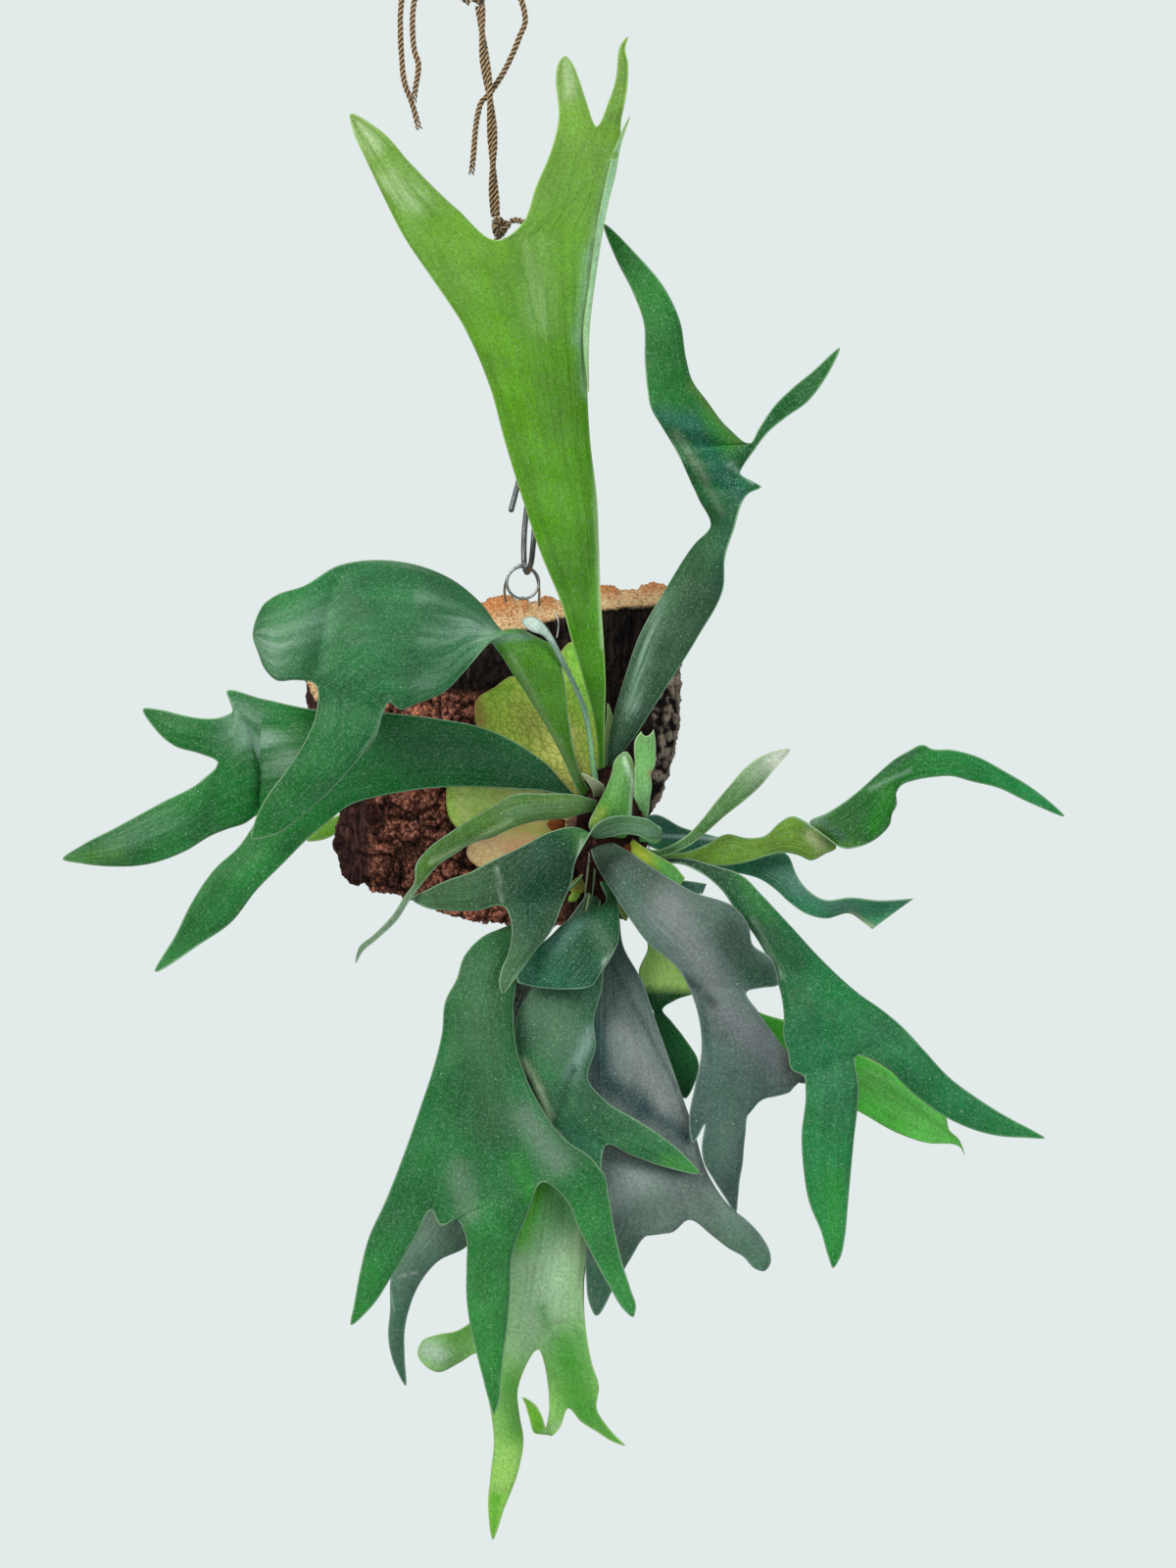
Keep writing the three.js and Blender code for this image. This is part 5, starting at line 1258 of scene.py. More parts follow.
shield_frond("shield_upper_left", ("#eee27c", "#bce64e", "#5c8a24"), {
    "rows": [
        [592, 822, 602, 806, 8], [570, 803, 586, 775, 9, 0, 1], [540, 781, 562, 735, 7, 0, 2],
        [505, 763, 543, 703, 5, 0, 1], [487, 743, 522, 690, 3.5], [484, 728, 505, 701, 3]],
    "tip": [485, 716, 2.5],
    "stains_and_painted_light": [
        (486, 714, 491, 737, 8, 0.9, "#b08a4c"), (500, 706, 520, 700, 8, 0.5, "#7cb83c"),
        (540, 735, 590, 800, 12, 0.4, "#eedf84")],
    # Painted light in the middle of the shield, and painted shade near the crown
    "shade": [(520, 760, 560, 770, 20, -0.35), (560, 790, 596, 806, 6, 0.3)],
}, lean=-0.75)
shield_frond("shield_top", ("#d6e04e", "#a4e05a", "#5f9a2c"), {
    "rows": [
        [598, 812, 612, 802, 5], [585, 775, 613, 775, 3.5], [572, 735, 612, 740, 2, 0, 1],
        [565, 700, 608, 705, 1, 0, 1], [566, 678, 602, 680, 0.5]],
    "tip": [583, 655, 0],
    "stains_and_painted_light": [(586, 660, 598, 720, 10, 0.6, "#7cd84c"), (580, 740, 592, 780, 7, 0.5, "#f0ea90")],
}, lean=-0.1, blotch="#f0ec8c", blotches=0.8)
# This shield lies in the shade of the long left frond: its pale colours and its negative shade stroke paint
# light on it
shield_frond("shield_left", ("#f4ecb4", "#ccf070", "#8fb440"), {
    "rows": [
        [592, 843, 596, 828, 6], [560, 844, 560, 802, 5], [520, 848, 520, 790, 4, 0, 1],
        [485, 850, 485, 783, 3.5], [463, 842, 461, 790, 3]],
    "tip": [455, 815, 2.5],
    "stains_and_painted_light": [(470, 806, 476, 842, 7, 0.6, "#f4f8a4"), (520, 806, 600, 808, 8, 0.4, "#fbe8b0")],
    "shade": [(475, 830, 540, 806, 28, -0.9)],
}, lean=-1.5)
shield_frond("shield_dried", ("#b8c460", "#ffd2ac", "#dc9a6c"), {
    "rows": [
        [594, 864, 592, 848, 10], [565, 872, 562, 838, 10, 0, 1], [533, 878, 530, 834, 8.5, 0, 1],
        [508, 886, 503, 850, 7], [489, 885, 478, 862, 6]],
    "tip": [476, 871, 5.5],
    "stains_and_painted_light": [
        (512, 838, 560, 850, 11, 0.9, "#a4bc58"), (520, 866, 545, 860, 8, 0.6, "#ffb494"),
        (482, 862, 498, 872, 8, 0.5, "#ffe9a4")],
}, lean=-1.9, blotch="#f6e898", dried=0.1)

# Bright young fronds
# The newest full-grown blades, still fresh green and thinly scurfed: the upright one with three tips, and
# those whose light undersides show low in the middle and behind the right side.


def bright_finish(name, colours, **looks):
    return frond_finish("fresh_" + name, colours, scurf=0.15, drift=0.08, grey="#b4cf9a", ribs=0.12,
                        rib_colour="#3f8414", rim="#aed083", dark=0.82, **looks)


def bright_frond(name, colours, part, **looks):
    blade_piece(name, part, bright_finish(name, colours, **looks))


bright_frond("frond_top", ("#468d04", "#599512", "#739d3c", "#7fb25c"), {
    "rows": [
        [607, 815, 617, 815, 12], [610, 780, 617, 778, 17], [606, 735, 617, 740, 22],
        [597, 700, 618, 700, 26], [585, 660, 616, 655, 30], [574, 620, 613, 610, 33],
        [550, 560, 611, 555, 36, -4, 3], [535, 515, 609, 510, 38, -6, 4], [515, 450, 602, 450, 40, -8, 6],
        [500, 395, 599, 395, 41, -10, 7], [473, 333, 600, 330, 43, -10, 7], [440, 283, 606, 278, 44, -8, 6],
        [410, 238, 615, 232, 46, -4]],
    "notch": [0.52, 510, 245, 49],
    "lobes": [{
        "rows": [[391, 200, 466, 213, 47, 0, 2], [372, 160, 418, 166, 46, 0, 2], [361, 136, 388, 133, 44]],
        "tip": [357, 117, 43],
    }, {
        "rows": [
            [532, 229, 620, 208, 46.8, -5, 0.5], [547, 190, 628, 178, 46.8, -5, 1.5],
            [564, 148, 633, 143, 46.5, -5, 1.5], [570, 120, 634, 121, 45, -5]],
        "notch": [0.54, 609, 129, 46],
        "lobes": [{
            "rows": [[569, 100, 598, 103, 44, 0, 1], [567, 79, 591, 81, 43], [571, 62, 583, 63, 42]],
            "tip": [577, 57, 41],
        }, {
            "rows": [
                [620, 106, 637, 108, 44], [629, 76, 641, 80, 43], [630, 63, 641, 64, 42],
                [633, 46, 638, 50, 41]],
            "tip": [641, 37, 40],
        }],
    }],
    "folds": [(646, 120, 629, 160, 5, 1.2), (629, 160, 612, 240, 6, 1.2), (612, 240, 599, 340, 5, 1.0)],
    "bloom": [
        (366, 128, 382, 150, 11, 0.5), (400, 182, 422, 206, 14, 0.45), (545, 250, 552, 330, 14, 0.2),
        (578, 62, 582, 90, 12, 0.35)],
    # Painted shade, thinnest just inside the right fold
    "shade": [
        (592, 640, 600, 560, 8, 0.3), (620, 172, 604, 250, 2.5, 0.4), (604, 250, 592, 350, 2.5, 0.4),
        (496, 360, 590, 640, 3, 0.35)],
    # The pale stains along the right fold and down the right edge are a painted sheen
    "stains_and_painted_light": [
        (628, 168, 604, 262, 7, 0.6, "#9cc8a0"), (604, 262, 593, 345, 9, 0.6, "#9cc8a0"),
        (593, 345, 598, 400, 7, 0.4, "#9cc8a0"), (601, 345, 615, 660, 3, 0.7, "#b4d8a0")],
}, turn=(0.15, 0.6))
# This frond lies in the shade of the fronds in front: its pale base colour, its negative shade stroke and
# several pale stains paint light on it, and the pale stain low on the long lobe is a painted highlight
bright_frond("frond_bottom", ("#a1ed8f", "#74b96e", "#9fd463", "#78b04e"), {
    "rows": [
        [602, 908, 612, 908, 3], [592, 950, 604, 950, 11], [578, 1010, 596, 1010, 21],
        [558, 1080, 590, 1080, 29, 0, 1], [540, 1150, 592, 1150, 35, 0, 2], [518, 1215, 597, 1222, 38, 0, 3],
        [500, 1265, 599, 1275, 40, 0, 3], [489, 1310, 596, 1311, 40, 0, 3], [484, 1345, 597, 1348, 39]],
    "notch": [0.12, 487, 1381, 40],
    "lobes": [{
        "rows": [
            [466, 1358, 468, 1391, 41, 0, 1], [446, 1362, 447, 1400, 44, 0, 2], [431, 1368, 434, 1394, 47]],
        "tip": [426, 1381, 48],
    }, {
        "rows": [[493, 1404, 604, 1391, 39]], "notch": [0.5, 549, 1377, 41],
        "lobes": [{
            "rows": [
                [499, 1431, 528, 1421, 39, 0, 1], [502, 1448, 530, 1443, 38.5, 0, 1],
                [504, 1470, 534, 1468, 38, 0, 1], [501, 1502, 529, 1500, 37, 0, 1],
                [498, 1537, 514, 1541, 36]],
            "tip": [503, 1571, 35],
        }, {
            "rows": [[560, 1424, 611, 1414, 39]], "notch": [0.4, 580, 1437, 39],
            "lobes": [{
                "rows": [
                    [559, 1449, 571, 1457, 42], [554, 1462, 563, 1465, 46], [545, 1462, 557, 1457, 49.5],
                    [540, 1447, 553, 1445, 51.5], [536, 1433, 546, 1433, 52]],
                "tip": [533, 1426, 52],
            }, {
                "rows": [[592, 1450, 609, 1438, 38], [609, 1461, 618, 1453, 37], [625, 1471, 630, 1467, 36]],
                "tip": [638, 1475, 36],
            }],
        }],
    }],
    "shade": [(558, 1225, 572, 1290, 20, -0.5)],
    "stains_and_painted_light": [
        (530, 1290, 527, 1375, 16, 0.6, "#b4d6a6"), (548, 1290, 546, 1370, 14, 0.5, "#b4d6a6"),
        (548, 1212, 530, 1265, 12, 0.85, "#4fb426"), (572, 1280, 562, 1345, 26, 0.7, "#c2dfb8"),
        (588, 1265, 592, 1335, 10, 0.55, "#b4d6a2"), (553, 1335, 557, 1352, 7, 0.6, "#4c9a4a"),
        (576, 1372, 594, 1440, 22, 0.85, "#3f9a24"), (600, 1440, 632, 1472, 10, 0.7, "#46a02e"),
        (520, 1412, 527, 1470, 15, 0.75, "#4f9c34"), (522, 1482, 515, 1505, 13, 0.6, "#a9dc68"),
        (506, 1530, 503, 1562, 9, 0.8, "#5cb41c"), (433, 1376, 447, 1382, 12, 0.75, "#b9cfb9"),
        (462, 1365, 480, 1355, 9, 0.7, "#58a43c"), (537, 1430, 551, 1456, 8, 0.85, "#69b71c"),
        (556, 1463, 568, 1454, 5, 0.6, "#a8d492")],
})
bright_frond("frond_light_back_right", ("#33bd26", "#56d440", "#77f361", "#4da53c"), {
    "rows": [
        [640, 895, 648, 886, 1], [660, 940, 672, 930, -3], [685, 985, 700, 970, -2],
        [718, 1026, 735, 1000, 0], [762, 1062, 773, 1032, 4, 0, 1], [812, 1094, 810, 1044, 8, 0, 2],
        [845, 1117, 850, 1064, 11, 0, 2], [880, 1136, 886, 1080, 13, 0, 3], [918, 1157, 922, 1099, 14, 0, 3],
        [952, 1167, 952, 1124, 15, 0, 1], [966, 1167, 966, 1141, 15], [974, 1168, 968, 1152, 15],
        [980, 1171, 979, 1163, 15]],
    "tip": [984, 1179, 15],
    "bloom": [(890, 1100, 950, 1150, 16, 0.2)],
    "shade": [(905, 1110, 975, 1160, 3, 0.3)],
})
bright_frond("frond_short_green", ("#3f7a2a", "#3a7236", "#63a84c", "#4da53c"), {
    "rows": [
        [636, 863, 644, 855, 23], [650, 875, 658, 865, 27], [668, 887, 674, 875, 30, 0, 1],
        [684, 899, 688, 883, 31], [694, 904, 699, 896, 31]],
    "stains_and_painted_light": [(643, 858, 664, 884, 10, 0.9, "#c9da3c"), (672, 882, 697, 908, 9, 0.6, "#63c05a")],
})

# The right margin of the top frond is rolled forward and smooth, coloured pale as a painted sheen, and ends
# in a thin spur
rolled_margin_with_painted_sheen = {
    "rows": [[600, 400, 601, 400, 40], [595, 340, 601.5, 340, 41], [601, 290, 607, 290, 44],
             [605, 262, 611, 262, 46], [612, 215, 619, 216, 47.6], [621, 172, 629, 173, 47.6],
             [629, 146, 634, 147, 46.5]],
    "tip": [643, 118, 44],
}
rolled_sheen_finish = bright_finish("rolled_margin_with_painted_sheen", ("#a4d09a", "#9ccaa4", "#8fc48c", "#7fb25c"))
blade_piece("frond_top_spur", rolled_margin_with_painted_sheen, rolled_sheen_finish, fine=8, wave=0, node="frond_top")

# Dark mature fronds
# The leathery full-grown blades: deep green above with a grey bloom, and a felt of pale hairs beneath.
# They fan out from the crown on fleshy stalks and hang by their own weight.


def dark_frond(name, colours, part, **looks):
    finish = frond_finish("leathery_" + name, colours, **looks)
    blade_piece(name, part, finish)


dark_frond("frond_upper_right", ("#365d3f", "#0c5c26", "#20741d", "#3f7a48"), {
    "rows": [
        [620, 812, 628, 812, 4], [618, 785, 630, 780, 8], [623, 745, 652, 745, 14, 2, 2],
        [638, 690, 687, 690, 20, 4, 3], [652, 650, 712, 650, 25, 6, 4], [680, 600, 738, 600, 29, 8, 4],
        [710, 554, 740, 568, 32, 12, 2], [725, 538, 748, 542, 35, 14], [712, 507, 765, 503, 36, 8, 3],
        [709, 500, 777, 497, 36, 6, 3], [707, 496, 767, 491, 36, 5, 4], [703, 487, 755, 483, 36, 2, 5],
        [698, 476, 759, 474, 36, -1, 6], [691, 462, 768, 462, 35, -4, 6]],
    "notch": [0.88, 766, 452, 31],
    "lobes": [{
        "rows": [
            [674, 433, 742, 436, 36, -9, 6], [664, 416, 721, 409, 36, -10, 5],
            [661, 400, 706, 388, 36, -8, 3], [658, 370, 700, 366, 36, -4, 2],
            [657, 330, 694, 329, 36, -2, 2], [645, 297, 680, 297, 34], [628, 263, 650, 260, 32]],
        "tip": [616, 229, 30],
    }, {
        "rows": [
            [774, 438, 784, 441, 30], [791, 413, 802, 426, 31], [806, 398, 823, 411, 33],
            [828, 380, 843, 385, 34]],
        "tip": [857, 355, 34],
    }],
    "folds": [(742, 472, 766, 491, 4, 1.2)],
    # The bloom strokes are mostly a painted grey sheen down the lower blade
    "bloom": [(672, 610, 645, 720, 8, 0.65), (640, 720, 628, 760, 10, 0.15)],
    # Painted shade down the right of the lower blade, and painted light over the two creases at the lobe's
    # foot
    "shade": [
        (742, 580, 700, 700, 12, 0.55), (690, 457, 745, 456, 5, -0.8), (712, 497, 762, 495, 4, -0.8),
        (715, 570, 692, 640, 12, 0.35)],
    # The teal stains are painted shade under the fold, the grey ones a painted sheen and the pale line by the
    # notch a painted highlight
    "stains_and_painted_light": [
        (668, 290, 690, 400, 24, 0.5, "#1f7a22"), (720, 425, 745, 455, 9, 0.6, "#2f8a26"),
        (706, 392, 752, 452, 6, 0.6, "#5c8a2c"), (748, 460, 760, 470, 7, 0.6, "#0c5a18"),
        (672, 424, 704, 432, 10, 0.8, "#15604c"), (704, 432, 732, 478, 10, 0.8, "#15604c"),
        (736, 486, 756, 502, 12, 0.8, "#185a48"), (686, 452, 724, 522, 8, 0.5, "#14502c"),
        (690, 442, 720, 488, 4.5, 0.5, "#7c8f78"), (722, 495, 738, 524, 4, 0.4, "#7c8f78"),
        (742, 472, 768, 493, 2, 0.7, "#9ab8a4"), (745, 500, 736, 600, 10, 0.4, "#245a48")],
}, turn=(0.3, 0.5))
dark_frond("frond_folded_left", ("#559619", "#256f3c", "#1a702a", "#477c2a"), {
    "rows": [
        [600, 822, 607, 812, 15], [590, 808, 596, 797, 22], [572, 768, 588, 775, 32, 0, 1],
        [545, 720, 581, 738, 42, 0, 2], [525, 690, 575, 692, 50, -2, 3], [508, 664, 566, 660, 54, -8, 5],
        [500, 656, 545, 652, 54, -22, 5, 527, 644], [494, 662, 517, 647, 54, -30, 6, 500, 648],
        [475, 684, 490, 615, 58, -26, 10, 476, 645], [452, 707, 462, 592, 63, -20, 10],
        [425, 718, 430, 578, 67, -16, 10], [408, 724, 398, 572, 69.5, -14, 9],
        [397, 717, 372, 572, 70.5, -12, 8], [391, 728, 345, 577, 71, -10, 6]],
    "notch": [0.42, 320, 697, 77],
    "lobes": [{
        "rows": [
            [383, 753, 322, 731, 76, 0, 3], [366, 774, 312, 755, 76, 0, 3], [341, 803, 293, 785, 74, 0, 2],
            [306, 835, 271, 815, 70, 0, 1], [280, 852, 259, 841, 67]],
        "tip": [256, 855, 66],
    }, {
        "rows": [
            [303, 694, 310, 598, 74, -8, 4], [282, 694, 281, 608, 72, -6, 4],
            [270, 682, 270, 616, 70.5, -4, 3], [264, 667, 263, 628, 69, -3, 1]],
        "tip": [258, 648, 68],
    }],
    # The bloom strokes on the neck and the hump's left end are partly a painted sheen
    "bloom": [
        (500, 642, 430, 612, 9, 0.5), (495, 648, 435, 648, 10, 0.5), (285, 655, 325, 636, 20, 0.5),
        (268, 645, 280, 690, 14, 0.4), (490, 655, 430, 700, 10, 0.3)],
    # Painted shade on the hump and down the stalk
    "shade": [(390, 590, 450, 580, 14, 0.25), (370, 605, 420, 665, 36, 0.2), (560, 690, 590, 790, 8, 0.2)],
    # The grey-green stain along the neck is a painted sheen
    "stains_and_painted_light": [
        (398, 716, 384, 749, 2, 0.7, "#a8ccae"), (384, 749, 368, 770, 1.8, 0.6, "#9cc4a0"),
        (505, 651, 562, 648, 3.5, 0.8, "#7c9c86"), (522, 668, 590, 795, 4, 0.5, "#93b37a")],
}, turn=(0.3, 0.42))
dark_frond("frond_long_left", ("#04521f", "#047424", "#2a7034", "#3c7a45"), {
    "rows": [
        [600, 832, 604, 822, 11], [586, 817, 581, 806, 17], [560, 808, 560, 782, 22, 0, 1],
        [525, 805, 530, 760, 26, 0, 2], [490, 803, 490, 742, 31, 0, 3], [440, 804, 450, 734, 37, 0, 3],
        [390, 812, 410, 729, 42, 0, 3], [358, 821, 365, 725, 45, 0, 3], [335, 838, 322, 724, 47, 0, 3],
        [315, 855, 268, 713, 49]],
    "notch": [0.33, 262, 832, 50],
    "lobes": [{
        "rows": [
            [290, 880, 246, 861, 51, 0, 1], [262, 908, 218, 888, 53, 0, 2], [235, 942, 195, 922, 55, 0, 2],
            [205, 963, 179, 954, 57]],
        "tip": [158, 991, 59],
    }, {
        "rows": [
            [250, 840, 231, 706, 50.5, 0, 3, 257, 772], [232, 846, 238, 725, 51.5, 0, 2],
            [215, 853, 224, 732, 52]],
        "notch": [0.62, 222, 778, 54],
        "lobes": [{
            "rows": [
                [190, 868, 206, 796, 54, 0, 1], [150, 882, 165, 819, 56, 0, 2],
                [110, 884, 115, 846, 57, 0, 1], [82, 881, 84, 862, 58]],
            "tip": [64, 877, 58],
        }, {
            "rows": [
                [204, 769, 206, 733, 53, 0, 1], [180, 762, 188, 730, 53, 0, 1], [158, 744, 163, 724, 52]],
            "tip": [146, 723, 52],
        }],
    }],
    # The bloom stroke at the upper left is partly a painted sheen
    "bloom": [(245, 735, 292, 780, 22, 0.6), (115, 862, 180, 836, 12, 0.2)],
    # Painted shade near the lower tips and along the stalk
    "shade": [(225, 905, 185, 955, 14, 0.4), (400, 760, 560, 795, 20, 0.15)],
    "stains_and_painted_light": [
        (392, 745, 450, 764, 26, 0.65, "#045428"), (75, 879, 120, 868, 9, 0.4, "#5f9a3a"),
        (172, 985, 262, 880, 12, 0.35, "#1f8a34"), (480, 768, 565, 798, 16, 0.45, "#0c4a2c")],
})
dark_frond("frond_tailed_left", ("#59812e", "#4b7a28", "#6e934c", "#6f9a50"), {
    "rows": [
        [612, 828, 613, 818, 22], [599, 829, 600, 814, 30], [582, 834, 588, 811, 33, 0, 1],
        [545, 838, 553, 810, 36, 0, 2], [522, 845, 525, 811, 38, 0, 2], [503, 854, 503, 823, 39, 0, 2],
        [480, 861, 484, 834, 40, 0, 2], [465, 871, 460, 849, 41, 0, 1], [448, 882, 435, 868, 42, 0, 1],
        [436, 895, 424, 883, 43], [426, 908, 423, 900, 44], [418, 919, 413, 914, 44],
        [406, 938, 401, 933, 43], [383, 960, 380, 955, 42], [370, 971, 366, 967, 41]],
    "tip": [363, 983, 41],
    "bloom": [(520, 830, 600, 820, 10, 0.2)],
    "stains_and_painted_light": [(425, 912, 366, 980, 7, 0.8, "#8a9f90"), (440, 880, 520, 838, 3, 0.5, "#a4c08c")],
})
dark_frond("frond_arched", ("#78dd5f", "#043717", "#4a724b", "#4f8040"), {
    "rows": [
        [640, 862, 640, 848, 14], [658, 859, 660, 842, 24], [669, 861, 671, 842, 31, 2],
        [674, 857, 675, 847, 38, 2], [662, 858, 662, 836, 44, 3], [652, 853, 648, 833, 47, 3],
        [638, 851, 636, 832, 49, 4], [621, 854, 619, 835, 53, 8], [607, 855, 606, 844, 56, 14],
        [596, 847, 598, 858, 58, 12], [582, 844, 592, 869, 60, 8], [562, 849, 587, 880, 61, 4, 2],
        [530, 865, 583, 900, 61, 2, 3], [500, 879, 573, 925, 60, 2]],
    "notch": [0.45, 514, 925, 60],
    "lobes": [{
        "rows": [[480, 890, 488, 929, 57, 0, 1], [457, 898, 456, 929, 51, 0, 1], [436, 908, 434, 926, 44]],
        "tip": [420, 917, 39],
    }, {
        "rows": [
            [522, 945, 563, 949, 64, 0, 2], [519, 972, 545, 972, 67, 0, 2], [511, 991, 530, 993, 69],
            [509, 1003, 522, 1004, 70]],
        "tip": [513, 1014, 70],
    }],
    "bloom": [(612, 850, 668, 846, 12, 0.5)],
    # Painted shade down the arch's left half
    "shade": [(585, 862, 545, 905, 16, 0.45)],
    "stains_and_painted_light": [
        (560, 866, 535, 940, 26, 0.6, "#0c4a34"), (594, 858, 586, 905, 2.5, 0.6, "#b4c8b2"),
        (586, 905, 558, 968, 2.5, 0.6, "#b4c8b2"), (506, 886, 514, 920, 2, 0.6, "#b4c8b2")],
}, turn=(0.25, 0.5), scurf=0.24, drift=0.05)
dark_frond("frond_big_lower_left", ("#235d2e", "#1f6b32", "#339039", "#3f7d48"), {
    "rows": [
        [592, 895, 602, 885, 14], [572, 915, 584, 904, 26], [545, 933, 560, 925, 37],
        [515, 946, 537, 955, 46, 0, 1], [491, 957, 531, 982, 52, 0, 3], [473, 977, 527, 1002, 55, 0, 4],
        [466, 999, 524, 1022, 58, 0, 4], [455, 1020, 524, 1042, 60, 0, 5], [451, 1055, 526, 1066, 62, 0, 5],
        [442, 1091, 534, 1093, 64, 0, 5], [430, 1127, 547, 1121, 65, 0, 5], [412, 1178, 577, 1163, 66, 0, 4],
        [392, 1228, 605, 1183, 67, 0, 2]],
    "notch": [0.24, 441, 1235, 68],
    "lobes": [{
        "rows": [
            [377, 1261, 424, 1262, 67, 0, 1], [367, 1300, 400, 1302, 66, 0, 1], [361, 1332, 376, 1337, 65]],
        "tip": [358, 1352, 64],
    }, {
        "rows": [[450, 1252, 611, 1191, 67.5, 0, 0, 530, 1212], [464, 1243, 616, 1197, 67]],
        "notch": [0.6, 554, 1206, 68],
        "lobes": [{
            "rows": [
                [475, 1261, 537, 1242, 67, 0, 2], [476, 1290, 523, 1278, 66.5, 0, 2],
                [476, 1322, 520, 1325, 65.5, 0, 2], [479, 1348, 517, 1358, 65, 0, 2],
                [485, 1375, 514, 1381, 64, 0, 1], [492, 1404, 512, 1404, 62.5],
                [499, 1430, 509, 1432, 61.5]],
            "tip": [504, 1443, 61],
        }, {
            "rows": [
                [580, 1228, 621, 1220, 66, 0, 1], [589, 1250, 626, 1249, 65.5, 0, 1],
                [604, 1280, 634, 1285, 64], [624, 1317, 644, 1317, 62.5], [637, 1337, 649, 1334, 61.5]],
            "tip": [646, 1344, 61],
        }],
    }],
    # Painted shade down the middle of the blade, and painted light below it
    "shade": [(475, 1060, 505, 1170, 26, 0.3), (505, 1180, 500, 1240, 20, -0.3)],
    "stains_and_painted_light": [
        (452, 1060, 396, 1210, 20, 0.55, "#0f6e32"), (500, 1000, 500, 1150, 20, 0.15, "#6d8a6c"),
        (535, 1140, 568, 1186, 15, 0.35, "#9ba8a0"), (468, 1195, 478, 1236, 13, 0.3, "#96a596"),
        (528, 1188, 545, 1225, 10, 0.55, "#2a8f26"), (385, 1290, 368, 1340, 12, 0.4, "#2a8a34")],
})
dark_frond("frond_front_flap", ("#114d26", "#0d502a", "#1b5f43", "#3c7a45"), {
    "rows": [
        [612, 900, 624, 896, 21], [617, 922, 631, 921, 38], [591, 933, 632, 945, 48, 0, 2],
        [574, 943, 630, 964, 54, 0, 3], [561, 956, 621, 981, 56, 0, 3], [542, 971, 611, 996, 58, 0, 2],
        [526, 990, 604, 1006, 59, 0, 1], [528, 1003, 594, 1009, 60, 0, 0, 560, 1009]],
    "folds": [(632, 970, 617, 982, 4, 1.0)],
    # The blue-grey stain at the upper left is a painted sheen
    "stains_and_painted_light": [
        (566, 965, 590, 942, 9, 0.4, "#6f9f96"), (606, 945, 626, 975, 9, 0.35, "#6c8070"),
        (632, 970, 617, 982, 2.5, 0.8, "#b4c6b8"), (617, 982, 613, 1010, 2.5, 0.6, "#b4c6b8")],
})
dark_frond("frond_middle", ("#1f4a2e", "#356947", "#26793d", "#3c7a45"), {
    "rows": [
        [604, 903, 616, 900, 10], [598, 928, 612, 930, 22], [578, 960, 616, 975, 36, 0, 1],
        [546, 1006, 614, 1010, 46, 0, 3], [530, 1030, 606, 1040, 50, 0, 4], [525, 1055, 608, 1068, 52, 0, 4],
        [533, 1092, 600, 1101, 53, 0, 3], [547, 1125, 619, 1124, 52, 0, 2], [567, 1151, 650, 1143, 51]],
    "notch": [0.55, 618, 1169, 51],
    "lobes": [{
        "rows": [[585, 1174, 614, 1184, 51]], "tip": [613, 1200, 51],
    }, {
        "rows": [[645, 1179, 673, 1158, 51, 0, 1], [682, 1192, 698, 1178, 50]], "tip": [714, 1197, 49],
    }],
    "folds": [(586, 1092, 564, 1148, 4, -1.5), (534, 1083, 560, 1138, 4, 1.0)],
    # Painted light across the upper blade
    "shade": [(530, 1012, 600, 1010, 9, -0.6)],
    # The near-black stain paints the shadowed slit between this frond and the big lower left one, and the
    # dark green stain along the sunk fold is painted shade
    "stains_and_painted_light": [
        (545, 1025, 575, 1060, 24, 0.4, "#64876a"), (604, 1052, 582, 1098, 7, 0.65, "#93b0a8"),
        (538, 1078, 562, 1098, 9, 0.5, "#2c803c"), (586, 1092, 565, 1146, 4.5, 0.9, "#14502c"),
        (535, 1083, 550, 1110, 4.5, 0.7, "#a8b894"), (550, 1110, 560, 1138, 4, 0.7, "#a8b894"),
        (539, 1100, 552, 1136, 3, 1.0, "#0a120e"), (578, 1152, 612, 1176, 12, 0.45, "#206a52"),
        (680, 1185, 708, 1194, 9, 0.5, "#4fa63c")],
})
